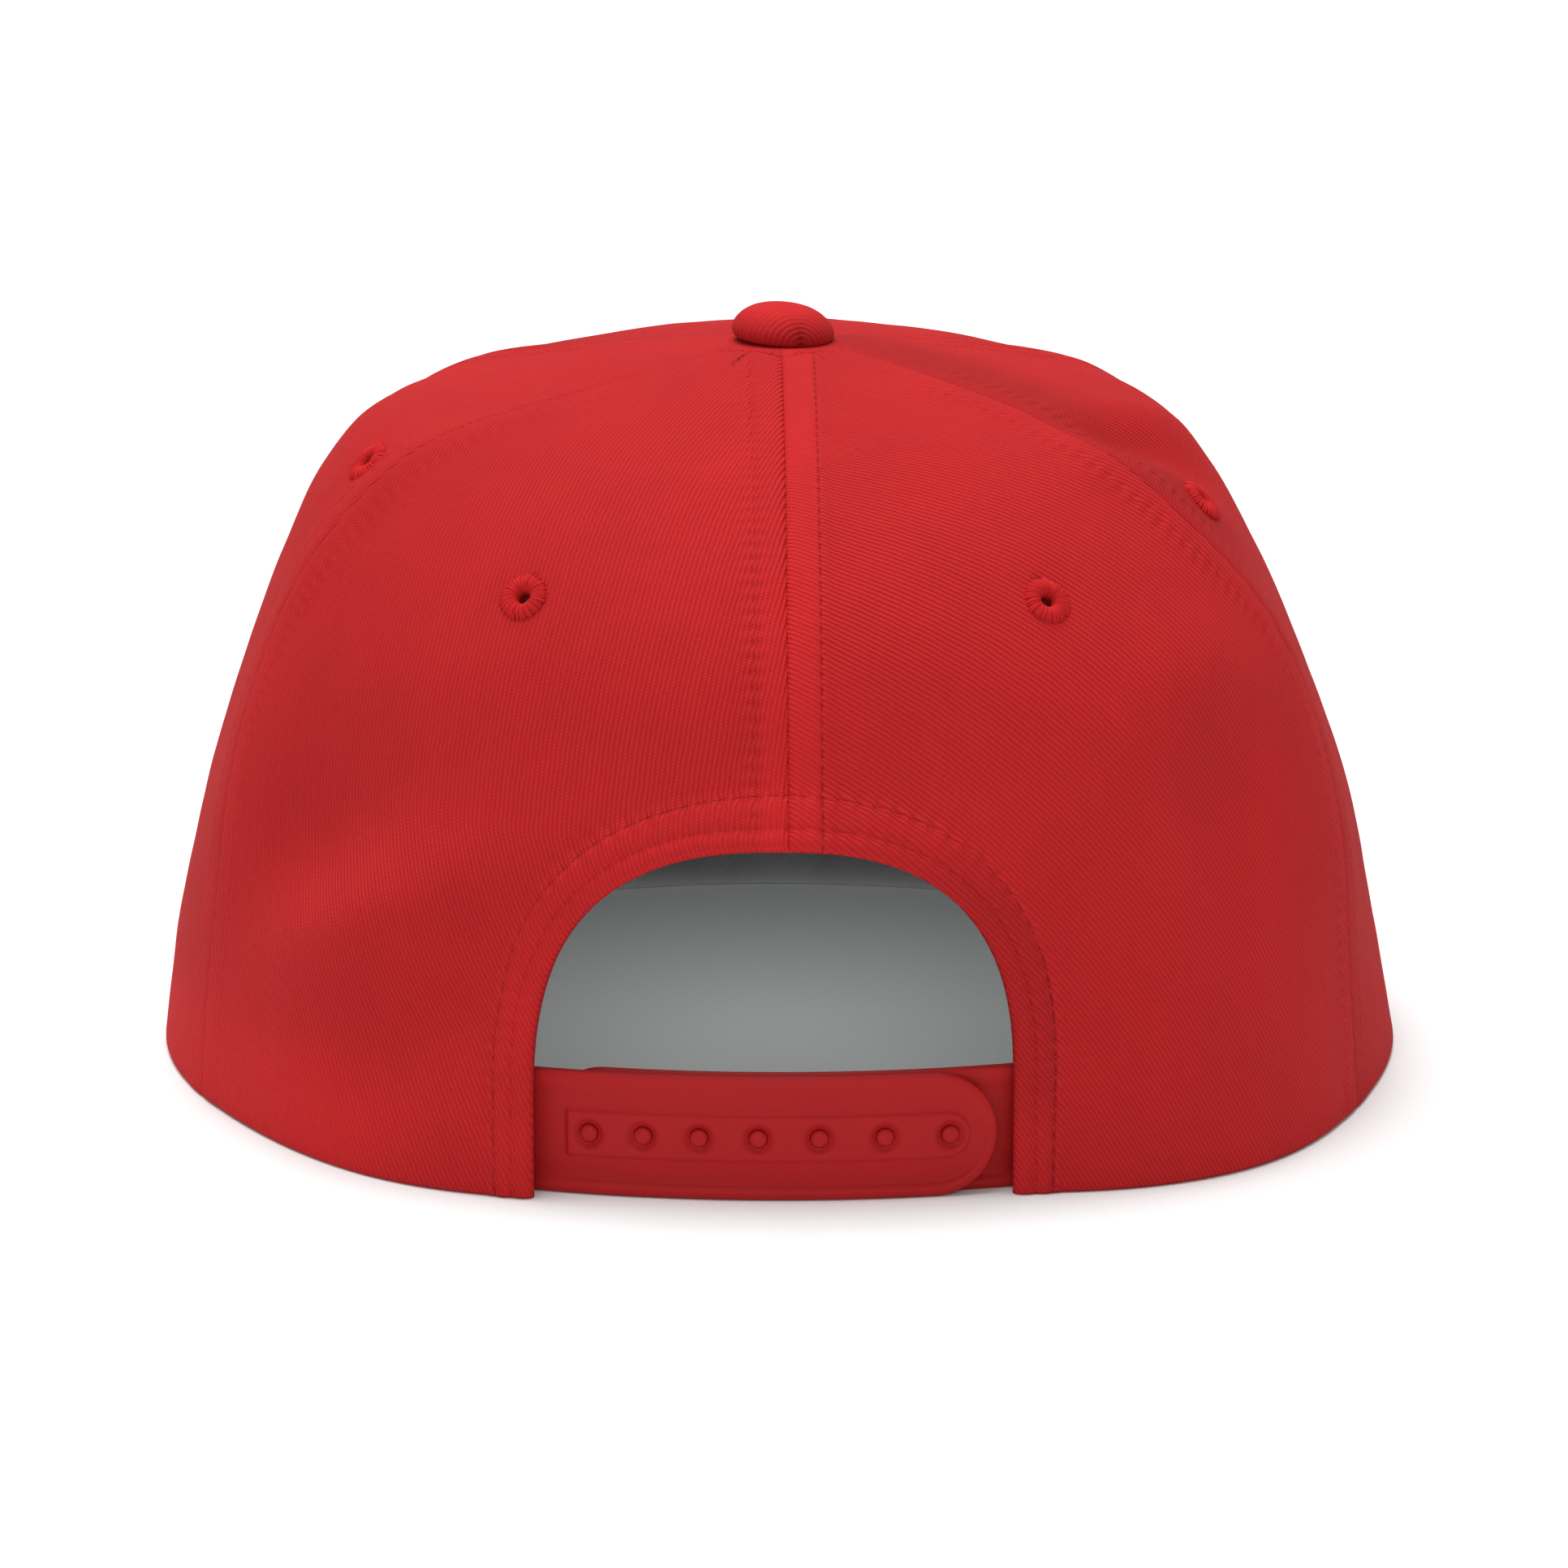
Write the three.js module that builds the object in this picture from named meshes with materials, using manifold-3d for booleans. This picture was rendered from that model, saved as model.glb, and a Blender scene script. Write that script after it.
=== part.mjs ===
// A flat bill cap with five cloth panels, a covered button and a snap strap behind.
// Millimetres. +Z is up, +Y is forward to the bill, the origin lies under the crown's middle
// on the surface that the cap rests on. Azimuth 0 is the back, and it grows to the cap's right.
import * as THREE from "three";
import Module from "manifold-3d";

const solids = await Module();
solids.setup();

// Driving sizes.
const clothThickness = 1.6;
const gap = 0.3;
const topRing = 0.985;

// The crown's outer skin on rings from the brim line to the top. A reach is the distance from
// the middle axis. A seam is the azimuth of the join between a back panel and its side panel.
const rings = [
  { backHeight: 0, back: 88, sideHeight: 0, left: 94.2, right: 93.8, frontHeight: 0, front: 88, leftSeam: 67, rightSeam: 63.5 },
  { backHeight: 19, back: 87.4, sideHeight: 19, left: 91.7, right: 90.2, frontHeight: 19, front: 88.5, leftSeam: 67, rightSeam: 65.5 },
  { backHeight: 38, back: 85.5, sideHeight: 38, left: 87.5, right: 86.4, frontHeight: 38, front: 88, leftSeam: 68, rightSeam: 68 },
  { backHeight: 56, back: 81.5, sideHeight: 57, left: 82, right: 80, frontHeight: 59, front: 85, leftSeam: 69.3, rightSeam: 70 },
  { backHeight: 73, back: 75, sideHeight: 74, left: 75.8, right: 72.6, frontHeight: 77, front: 78, leftSeam: 68.3, rightSeam: 66.5 },
  { backHeight: 87, back: 64, sideHeight: 87.5, left: 69.4, right: 65.4, frontHeight: 91, front: 67, leftSeam: 65.3, rightSeam: 60.5 },
  { backHeight: 97, back: 49, sideHeight: 97, left: 60.2, right: 56.4, frontHeight: 100.5, front: 49, leftSeam: 62.3, rightSeam: 57.5 },
  { backHeight: 103.2, back: 32, sideHeight: 102, left: 41, right: 40, frontHeight: 105, front: 30, leftSeam: 60.3, rightSeam: 58 },
  { backHeight: 106.8, back: 15, sideHeight: 106, left: 20, right: 20, frontHeight: 107.2, front: 14, leftSeam: 58, rightSeam: 58.5 },
  { backHeight: 108, back: 0, sideHeight: 108, left: 0, right: 0, frontHeight: 108, front: 0, leftSeam: 57, rightSeam: 58 },
];

// Swells stand out of the skin and dents sink into it. Long is measured along an axis that is
// turned up from the level by so many degrees, and wide across it.
const swells = [
  { place: "left back corner of the base", azimuth: -34, height: 0, long: 62, wide: 33, turn: 90, out: 7 },
  { place: "right back corner of the base", azimuth: 42, height: 0, long: 62, wide: 33, turn: 90, out: 9.2 },
  { place: "left back seam", azimuth: -67, height: 55, long: 30, wide: 15, turn: 90, out: 2.8 },
  { place: "right back seam", azimuth: 67, height: 55, long: 30, wide: 15, turn: 90, out: 3 },
  { place: "left hollow over the fold", azimuth: -48, height: 47, long: 21, wide: 11, turn: 25, out: -3.2 },
  { place: "left fold", azimuth: -42, height: 36, long: 26, wide: 8, turn: 25, out: 1.9 },
  { place: "left hollow beside the arch", azimuth: -33, height: 24, long: 20, wide: 9, turn: 38, out: -2.6 },
  { place: "right shoulder", azimuth: 50, height: 67, long: 17, wide: 11, turn: 0, out: 2.6 },
  { place: "right hollow", azimuth: 46, height: 46, long: 15, wide: 12, turn: 75, out: -2.6 },
  { place: "right side valley", azimuth: 72, height: 96, long: 18, wide: 6, turn: -40, out: -3 },
  { place: "right side ridge", azimuth: 84, height: 98, long: 15, wide: 5, turn: -40, out: 0.8 },
  { place: "flare over the arch", azimuth: -1, height: 47, long: 30, wide: 9, turn: 0, out: 2.2 },
  { place: "tuck right of the arch", azimuth: 22, height: 14, long: 20, wide: 10, turn: 90, out: -1.6 },
];

const levelPush = 25;
const frontSeam = 121;
const middleSeam = 0.8;
const arch = { middle: -1, halfWidth: 34.4, straight: 17, rise: 34, leftPower: 2.38, rightPower: 2.5 };

const eyelets = [
  { name: "eyelet_back_left", azimuth: -31.4, ring: 0.507 },
  { name: "eyelet_back_right", azimuth: 32.8, ring: 0.5 },
  { name: "eyelet_side_left", azimuth: -71.5, ring: 0.615 },
  { name: "eyelet_side_right", azimuth: 71.5, ring: 0.554 },
];
const eyeletReach = 3.5;
const eyeletHole = 0.95;
const eyeletCut = 1.65;
const eyeletLift = 0.8;

const strap = { bottom: 0.1, height: 18.1, back: 88, bow: 125, plate: 1.4, rib: 0.4, under: 44 };
const strapTip = { holes: 31.4, pegs: -35 };
const band = { width: 6.8, left: -31, right: 27.4 };
const pegPlaces = [-27.7, -19.8, -11.7, -3.2, 5.6, 15, 24.5];
const pegRadius = 1.4;
const holeRadius = 1.85;
const dimpleRadius = 2.2;

const sweatband = { bottom: 0.6, top: 31, thickness: 1.2, end: 25 };
const bill = { thickness: 3.6, end: 72, halfWidth: 92, back: 50, front: 158, power: 2.8 };
const button = { radius: 7.8, bottom: 108.2, top: 113.7 };

// A smooth curve through evenly spaced values. Beyond is the value after the last one.
function smooth(values, t, beyond) {
  const last = values.length - 1;
  const x = Math.min(Math.max(t, 0), 1) * last;
  const i = Math.min(Math.floor(x), last - 1);
  const f = x - i;
  const b = values[i];
  const c = values[i + 1];
  const a = i > 0 ? values[i - 1] : 2 * b - c;
  const d = i < last - 1 ? values[i + 2] : beyond;
  return b + (f * (c - a)) / 2 + f * f * (a - 2.5 * b + 2 * c - d / 2) + f ** 3 * ((d - a) / 2 + 1.5 * (b - c));
}

const column = (name) => rings.map((ring) => ring[name]);
const heights = { back: column("backHeight"), side: column("sideHeight"), front: column("frontHeight") };
const reaches = { back: column("back"), left: column("left"), right: column("right"), front: column("front") };

function heightAt(side, t) {
  const values = heights[side];
  return smooth(values, t, values[values.length - 2]);
}

function reachAt(side, t) {
  const values = reaches[side];
  return Math.max(smooth(values, t, -values[values.length - 2]), 1e-6);
}

// The plain body of the crown: an oval on each ring.
function body(azimuth, t) {
  const angle = THREE.MathUtils.degToRad(azimuth);
  const across = Math.sin(angle);
  const along = -Math.cos(angle);
  const wide = reachAt(across < 0 ? "left" : "right", t);
  const deep = reachAt(along < 0 ? "back" : "front", t);
  const reach = 1 / Math.hypot(across / wide, along / deep);
  const end = heightAt(along < 0 ? "back" : "front", t);
  const z = heightAt("side", t) * across ** 2 + end * along ** 2;
  return new THREE.Vector3(across * reach, along * reach, z);
}

function normalOf(point, azimuth, t) {
  const low = Math.max(t - 0.002, 0);
  const high = Math.min(t + 0.002, 1);
  const turn = point(azimuth + 0.2, t).sub(point(azimuth - 0.2, t));
  const climb = point(azimuth, high).sub(point(azimuth, low));
  return turn.cross(climb).normalize();
}

function bisect(test, low, high) {
  let a = low;
  let b = high;
  for (let k = 0; k < 40; k += 1) {
    const m = (a + b) / 2;
    if (test(m) > 0) b = m;
    else a = m;
  }
  return (a + b) / 2;
}

const placedSwells = swells.map(({ azimuth, height, long, wide, turn, out }) => {
  const t = height > 0 ? bisect((ring) => body(azimuth, ring).z - height, 0, 0.95) : 0;
  const centre = body(azimuth, t);
  const around = body(azimuth + 0.5, t).sub(centre).normalize();
  const climb = normalOf(body, azimuth, t).cross(around).normalize();
  const angle = THREE.MathUtils.degToRad(turn);
  const axis = around.multiplyScalar(Math.cos(angle)).add(climb.multiplyScalar(Math.sin(angle)));
  return { centre, axis, long, wide, out };
});

// The crown's outer skin, and a point at a depth under it. Near the base a swell pushes level,
// so the edge stays on the surface.
function skin(azimuth, t) {
  const point = body(azimuth, t);
  const out = placedSwells.reduce((sum, swell) => {
    const away = point.clone().sub(swell.centre);
    const along = away.dot(swell.axis);
    const across = away.lengthSq() - along * along;
    return sum + swell.out * Math.exp(-((along / swell.long) ** 2) - across / swell.wide ** 2);
  }, 0);
  const push = normalOf(body, azimuth, t);
  push.z *= Math.min(point.z / levelPush, 1);
  return point.add(push.multiplyScalar(out));
}

function inside(azimuth, t, depth) {
  return skin(azimuth, t).sub(normalOf(skin, azimuth, t).multiplyScalar(depth));
}

const ringAtHeight = (azimuth, z) => (z <= 0 ? 0 : bisect((t) => skin(azimuth, t).z - z, 0, 0.6));

function geometryOf(points, faces) {
  const geometry = new THREE.BufferGeometry();
  geometry.setAttribute("position", new THREE.Float32BufferAttribute(points.flatMap((p) => p.toArray()), 3));
  geometry.setIndex(faces.flat());
  return geometry;
}

// Cloth between an outer and an inner grid: two skins and a wall round every free edge.
function sheetOf(outer, inner, quads) {
  const shift = outer.length;
  const faces = [];
  const edges = new Map();
  quads.forEach(([a, b, c, d]) => {
    faces.push([a, b, c], [a, c, d]);
    faces.push([shift + c, shift + b, shift + a], [shift + d, shift + c, shift + a]);
    [[a, b], [b, c], [c, d], [d, a]].forEach(([from, to]) => edges.set(from + "," + to, [from, to]));
  });
  edges.forEach(([from, to]) => {
    if (edges.has(to + "," + from)) return;
    faces.push([to, from, shift + from], [to, shift + from, shift + to]);
  });
  return geometryOf([...outer, ...inner], faces);
}

// Sections of the same number of points joined one after the other, with flat ends.
function loft(sections) {
  const count = sections[0].length;
  const faces = [];
  for (let k = 0; k < sections.length - 1; k += 1) {
    for (let i = 0; i < count; i += 1) {
      const a = k * count + i;
      const b = k * count + ((i + 1) % count);
      faces.push([a, b, b + count], [a, b + count, a + count]);
    }
  }
  const last = (sections.length - 1) * count;
  for (let i = 1; i < count - 1; i += 1) {
    faces.push([0, i + 1, i], [last, last + i, last + i + 1]);
  }
  return geometryOf(sections.flat(), faces);
}

// A profile of [radius, height] turned round Z. It closes on itself, or ends on the axis.
function turned(profile, sides) {
  const points = [];
  const rows = profile.map(([radius, z]) => {
    const first = points.length;
    const steps = radius === 0 ? 1 : sides;
    for (let k = 0; k < steps; k += 1) {
      const angle = (2 * Math.PI * k) / sides;
      points.push(new THREE.Vector3(radius * Math.cos(angle), radius * Math.sin(angle), z));
    }
    return (k) => (radius === 0 ? first : first + (k % sides));
  });
  const faces = [];
  rows.forEach((row, i) => {
    const next = rows[(i + 1) % rows.length];
    for (let k = 0; k < sides; k += 1) {
      const quad = [row(k), row(k + 1), next(k + 1), next(k)];
      const corners = quad.filter((corner, place) => quad.indexOf(corner) === place);
      for (let n = 1; n < corners.length - 1; n += 1) faces.push([corners[0], corners[n], corners[n + 1]]);
    }
  });
  return geometryOf(points, faces);
}

function toSolid(geometry) {
  const shape = new solids.Mesh({
    numProp: 3,
    vertProperties: new Float32Array(geometry.getAttribute("position").array),
    triVerts: new Uint32Array(geometry.index.array),
  });
  return new solids.Manifold(shape);
}

function toGeometry(solid) {
  const shape = solid.getMesh();
  const points = [];
  for (let i = 0; i < shape.numVert; i += 1) {
    points.push(new THREE.Vector3().fromArray(shape.vertProperties, i * shape.numProp));
  }
  return geometryOf(points, [Array.from(shape.triVerts)]);
}

const cap = new THREE.Group();
cap.name = "flat_bill_cap";

function addNode(name, geometry) {
  const node = new THREE.Mesh(geometry);
  node.name = name;
  cap.add(node);
}

// Crown panels. Each seam keeps half the gap on either side.
function seamAt(side, t) {
  const values = column(side < 0 ? "leftSeam" : "rightSeam");
  return side * smooth(values, t, 2 * values[values.length - 1] - values[values.length - 2]);
}

function besideSeam(azimuth, t, side) {
  const point = skin(azimuth, t);
  const reach = Math.max(Math.hypot(point.x, point.y), 1);
  return azimuth + side * THREE.MathUtils.radToDeg(gap / 2 / reach);
}

function panelOf(grid, quads) {
  const outer = grid.map(([azimuth, t]) => skin(azimuth, t));
  const inner = grid.map(([azimuth, t]) => inside(azimuth, t, clothThickness));
  return sheetOf(outer, inner, quads);
}

function blockOf(columns, rows, pointAt) {
  const grid = [];
  const quads = [];
  for (let j = 0; j <= rows; j += 1) {
    for (let i = 0; i <= columns; i += 1) {
      grid.push(pointAt(i / columns, j / rows));
      if (i < columns && j < rows) {
        const a = j * (columns + 1) + i;
        quads.push([a, a + 1, a + columns + 2, a + columns + 1]);
      }
    }
  }
  return { grid, quads };
}

// Every panel has its rows on the same rings, so neighbours run side by side along a seam.
const legRing = 0.1;
const legRows = 3;
const coverRows = 15;

function ringOfRow(row) {
  if (row <= legRows) return (legRing * row) / legRows;
  return legRing + ((topRing - legRing) * (row - legRows)) / coverRows;
}

function wholePanel(from, to, columns) {
  const rows = legRows + coverRows;
  const { grid, quads } = blockOf(columns, rows, (u, v) => {
    const t = ringOfRow(Math.round(v * rows));
    const left = besideSeam(from(t), t, 1);
    const right = besideSeam(to(t), t, -1);
    return [left + (right - left) * u, t];
  });
  return panelOf(grid, quads);
}

// How far a point lies outside the arch: below 0 is within it.
function outsideArch(point) {
  const across = Math.abs(point.x - arch.middle) / arch.halfWidth;
  const up = Math.max(point.z - arch.straight, 0) / arch.rise;
  const power = point.x < arch.middle ? arch.leftPower : arch.rightPower;
  return across ** power + up ** power - 1;
}

// A back panel: a leg beside the arch, and the cloth over the leg and the arch.
function backPanel(side) {
  const legColumns = 8;
  const archColumns = 9;
  const edge = arch.middle + side * arch.halfWidth;
  const outerSeam = (t) => besideSeam(seamAt(side, t), t, -side);
  const innerSeam = (t) => besideSeam(middleSeam, t, side);
  const hem = (t) => side * bisect((a) => Math.abs(skin(side * a, t).x) - Math.abs(edge), 5, 40);
  const share = (outerSeam(legRing) - hem(legRing)) / (outerSeam(legRing) - innerSeam(legRing));
  const azimuthAt = (u, t) => outerSeam(t) + (innerSeam(t) - outerSeam(t)) * u;

  const leg = blockOf(legColumns, legRows, (u, v) => {
    const t = v * legRing;
    return [outerSeam(t) + (hem(t) - outerSeam(t)) * u, t];
  });
  const columns = legColumns + archColumns;
  const cover = blockOf(columns, coverRows, (u, v) => {
    const k = Math.round(u * columns);
    const past = Math.max(k - legColumns, 0) / archColumns;
    const over = share + (1 - share) * (1 - Math.cos((past * Math.PI) / 2));
    const place = k <= legColumns ? (share * k) / legColumns : over;
    const start = k <= legColumns
      ? legRing
      : bisect((t) => outsideArch(skin(azimuthAt(place, t), t)), legRing, 0.5);
    const t = start + (topRing - start) * v;
    return [azimuthAt(place, t), t];
  });
  const joined = (legRows + 1) * (legColumns + 1);
  const grid = [...leg.grid, ...cover.grid.slice(columns + 1)];
  const archStart = grid.length;
  cover.grid.slice(legColumns + 1, columns + 1).forEach((point) => grid.push(point));
  const place = (index) => {
    if (index > columns) return joined + index - columns - 1;
    if (index > legColumns) return archStart + index - legColumns - 1;
    return legRows * (legColumns + 1) + index;
  };
  const quads = [...leg.quads, ...cover.quads.map((quad) => quad.map(place))];
  return panelOf(grid, side < 0 ? quads : quads.map((quad) => [...quad].reverse()));
}

function frameAt({ azimuth, ring }) {
  const out = normalOf(skin, azimuth, ring);
  const turn = new THREE.Quaternion().setFromUnitVectors(new THREE.Vector3(0, 0, 1), out);
  return new THREE.Matrix4().compose(skin(azimuth, ring), turn, new THREE.Vector3(1, 1, 1));
}

function withEyelet(panel, name) {
  const place = eyelets.find((eyelet) => eyelet.name === name);
  const cutter = turned([[0, -4], [eyeletCut, -4], [eyeletCut, 4], [0, 4]], 12).applyMatrix4(frameAt(place));
  return toGeometry(toSolid(panel).subtract(toSolid(cutter)));
}

const panels = {
  front_panel: wholePanel((t) => frontSeam, (t) => 360 - frontSeam, 20),
  side_left_panel: wholePanel((t) => -frontSeam, (t) => seamAt(-1, t), 9),
  side_right_panel: wholePanel((t) => seamAt(1, t), (t) => frontSeam, 9),
  back_left_panel: backPanel(-1),
  back_right_panel: backPanel(1),
};
addNode("front_panel", panels.front_panel);
addNode("side_left_panel", withEyelet(panels.side_left_panel, "eyelet_side_left"));
addNode("side_right_panel", withEyelet(panels.side_right_panel, "eyelet_side_right"));
addNode("back_left_panel", withEyelet(panels.back_left_panel, "eyelet_back_left"));
addNode("back_right_panel", withEyelet(panels.back_right_panel, "eyelet_back_right"));

// Stitched eyelets: a thread ring outside and inside, joined through the hole in the cloth.
const eyeletProfile = [
  [eyeletHole, -3],
  [eyeletReach, -3],
  [eyeletReach, -clothThickness - eyeletLift],
  [eyeletCut - gap, -clothThickness - eyeletLift],
  [eyeletCut - gap, eyeletLift],
  [eyeletReach, eyeletLift],
  [eyeletReach - 0.3, 1.1],
  [eyeletReach - 1.4, 1.5],
  [eyeletHole, 1],
];
eyelets.forEach((eyelet) => addNode(eyelet.name, turned(eyeletProfile, 14).applyMatrix4(frameAt(eyelet))));

// The cloth covered button on top, a low dome.
const buttonHeight = button.top - button.bottom;
const buttonProfile = [
  [0, button.bottom],
  [button.radius - 2, button.bottom],
  [button.radius - 0.5, button.bottom + 0.5],
  [button.radius, button.bottom + 0.28 * buttonHeight],
  [button.radius - 0.6, button.bottom + 0.58 * buttonHeight],
  [button.radius - 2.2, button.bottom + 0.82 * buttonHeight],
  [button.radius - 4.8, button.bottom + 0.96 * buttonHeight],
  [0, button.top],
];
addNode("button", turned(buttonProfile, 24));

// The sweatband inside the base, from the left hem round the front to the right hem. Its ends
// stand further in, where they lie over the strap ends.
const sweatbandSteps = 44;
const sweatbandSections = [];
for (let k = 0; k <= sweatbandSteps; k += 1) {
  const azimuth = sweatband.end + ((360 - 2 * sweatband.end) * k) / sweatbandSteps;
  const wrapped = azimuth > 180 ? azimuth - 360 : azimuth;
  const fade = Math.exp(-(((Math.abs(wrapped) - sweatband.end) / 14) ** 2));
  const depth = clothThickness + 0.9 + fade * (wrapped > 0 ? 8 : 5.6);
  const wallAt = (z, inward) => {
    const t = ringAtHeight(wrapped, z);
    const point = skin(wrapped, t);
    const reach = Math.hypot(point.x, point.y);
    return new THREE.Vector3(point.x, point.y, 0).multiplyScalar((reach - inward) / reach).setZ(z);
  };
  const middle = (sweatband.bottom + sweatband.top) / 2;
  sweatbandSections.push([
    wallAt(sweatband.bottom, depth + sweatband.thickness),
    wallAt(middle, depth + sweatband.thickness),
    wallAt(sweatband.top, depth + sweatband.thickness),
    wallAt(sweatband.top, depth),
    wallAt(middle, depth),
    wallAt(sweatband.bottom, depth),
  ]);
}
addNode("sweatband", loft(sweatbandSections));

// The straps are bowed plates. Depth is counted inwards from the outer strap's face.
function bowed(x, z, depth) {
  const angle = x / strap.bow;
  const radius = strap.bow - depth;
  return new THREE.Vector3(Math.sin(angle) * radius, strap.bow - strap.back - Math.cos(angle) * radius, z);
}

function plate(stations, sectionAt) {
  return toSolid(loft(stations.map((x) => sectionAt(x).map(([z, depth]) => bowed(x, z, depth)))));
}

// Stations from a square end to a round tip, and the half height left at each.
function tipStations(root, tip, radius, steps) {
  const way = Math.sign(tip - root);
  const stations = [];
  for (let k = 0; k <= steps; k += 1) stations.push(root + ((tip - way * radius - root) * k) / steps);
  [0.4, 0.68, 0.88, 0.97, 0.997].forEach((share) => stations.push(tip - way * radius * (1 - share)));
  return way < 0 ? stations.reverse() : stations;
}

function halfHeightAt(x, tip, radius) {
  const past = radius - Math.abs(tip - x);
  const beyond = Math.abs(tip - x) < radius ? past / radius : 0;
  return radius * Math.sqrt(1 - beyond * beyond);
}

const strapMiddle = strap.bottom + strap.height / 2;
const strapRadius = strap.height / 2;
const rimWidth = 1.1;

function strapPlate(root, tip, face) {
  return plate(tipStations(root, tip, strapRadius, 10), (x) => {
    const half = halfHeightAt(x, tip, strapRadius);
    const rim = half > rimWidth ? half - rimWidth : half * 0.5;
    const top = strapMiddle + half;
    const bottom = strapMiddle - half;
    return [
      [bottom, face],
      [bottom, face + strap.rib + strap.plate],
      [top, face + strap.rib + strap.plate],
      [top, face],
      [strapMiddle + rim, face],
      [strapMiddle + rim * 0.96, face + strap.rib],
      [strapMiddle - rim * 0.96, face + strap.rib],
      [strapMiddle - rim, face],
    ];
  });
}

// Turns a profile round the line that runs inwards through the strap at x.
function acrossStrap(profile, x, sides) {
  const middle = bowed(x, strapMiddle, 0);
  const inward = bowed(x, strapMiddle, 1).sub(middle).normalize();
  const turn = new THREE.Quaternion().setFromUnitVectors(new THREE.Vector3(0, 0, 1), inward);
  const place = new THREE.Matrix4().compose(middle, turn, new THREE.Vector3(1, 1, 1));
  return toSolid(turned(profile, sides).applyMatrix4(place));
}

const bandHalf = band.width / 2;
const raisedBand = plate(tipStations(band.left, band.right, bandHalf, 10), (x) => {
  const half = halfHeightAt(x, band.right, bandHalf);
  return [
    [strapMiddle - half, strap.rib + 0.5],
    [strapMiddle + half, strap.rib + 0.5],
    [strapMiddle + half, 0],
    [strapMiddle - half, 0],
  ];
});

let holesStrap = strapPlate(-strap.under, strapTip.holes, 0).add(raisedBand);
pegPlaces.forEach((place) => {
  const hole = [
    [0, -1],
    [dimpleRadius, -1],
    [dimpleRadius, 0.3],
    [holeRadius, 0.9],
    [holeRadius, 4],
    [0, 4],
  ];
  holesStrap = holesStrap.subtract(acrossStrap(hole, place, 14));
});
addNode("snap_strap_holes", toGeometry(holesStrap));

const pegsFace = strap.plate + strap.rib + gap;
let pegsStrap = strapPlate(strap.under, strapTip.pegs, pegsFace);
pegPlaces.forEach((place) => {
  const peg = [
    [0, 0.1],
    [0.8, 0.25],
    [pegRadius, 0.8],
    [pegRadius, pegsFace + strap.rib + 0.6],
    [0, pegsFace + strap.rib + 0.6],
  ];
  pegsStrap = pegsStrap.add(acrossStrap(peg, place, 12));
});
addNode("snap_strap_pegs", toGeometry(pegsStrap));

// The bill: a flat board covered in cloth, from the crown's front edge to a squared front.
function billEdge(share) {
  const side = Math.sign(share);
  const far = Math.abs(share);
  if (far > 0.86) {
    const back = (far - 0.86) / 0.14;
    return [side * (bill.halfWidth - 1.4 * back), bill.back - 20 * back];
  }
  const angle = ((far / 0.86) * Math.PI) / 2;
  const across = Math.sin(angle) ** (2 / bill.power);
  const along = Math.cos(angle) ** (2 / bill.power);
  return [side * bill.halfWidth * across, bill.back + (bill.front - bill.back) * along];
}

const billSteps = 40;
const billSections = [];
for (let k = 0; k <= billSteps; k += 1) {
  const share = (2 * k) / billSteps - 1;
  const azimuth = 180 - share * bill.end;
  const innerAt = (z) => {
    const point = skin(azimuth, ringAtHeight(azimuth, z));
    const reach = Math.hypot(point.x, point.y);
    return point.multiplyScalar((reach + gap + 0.1) / reach).setZ(z);
  };
  const [x, y] = billEdge(share);
  const start = innerAt(0);
  const outerAt = (inset, z) => {
    const reach = Math.hypot(x - start.x, y - start.y);
    const part = (reach - Math.min(inset, reach / 3)) / reach;
    return new THREE.Vector3(start.x + (x - start.x) * part, start.y + (y - start.y) * part, z);
  };
  billSections.push([
    start,
    outerAt(0.9, 0),
    outerAt(0, bill.thickness / 2),
    outerAt(0.9, bill.thickness),
    innerAt(bill.thickness),
  ]);
}
addNode("bill", loft(billSections));

export default cap;
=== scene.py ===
import math
from functools import partial
import bpy
import numpy as np
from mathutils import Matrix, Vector, noise


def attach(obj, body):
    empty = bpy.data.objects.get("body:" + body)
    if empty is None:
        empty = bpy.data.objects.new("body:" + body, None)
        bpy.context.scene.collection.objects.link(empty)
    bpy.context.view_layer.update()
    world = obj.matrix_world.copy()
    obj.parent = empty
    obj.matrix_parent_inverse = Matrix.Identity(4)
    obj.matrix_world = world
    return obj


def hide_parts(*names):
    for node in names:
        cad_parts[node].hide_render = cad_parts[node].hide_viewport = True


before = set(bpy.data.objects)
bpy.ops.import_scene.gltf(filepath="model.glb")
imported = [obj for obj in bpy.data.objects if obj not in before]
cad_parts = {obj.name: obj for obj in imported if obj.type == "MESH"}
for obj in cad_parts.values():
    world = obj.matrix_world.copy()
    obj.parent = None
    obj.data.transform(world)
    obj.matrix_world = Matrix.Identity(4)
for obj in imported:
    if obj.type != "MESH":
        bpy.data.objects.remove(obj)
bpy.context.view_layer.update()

# A flat bill cap in red twill, seen from behind. Sizes are in millimetres, but those of the
# floor and the lights are in metres.
MM = 0.001

# Camera
# A long lens stands behind the cap and a little above it. It is level from side to side.
camera_height_angle = math.radians(14.5)
camera_distance = 1200
camera_target = np.array([0.5, 9.39, 36.31])
photo_pixels, pixels_a_millimetre = 1932, 8.03
picture_width = photo_pixels / pixels_a_millimetre
toward_camera = np.array([0, -math.cos(camera_height_angle), math.sin(camera_height_angle)])


def add_object(name, data):
    made = bpy.data.objects.new(name, data)
    bpy.context.collection.objects.link(made)
    return made


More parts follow.
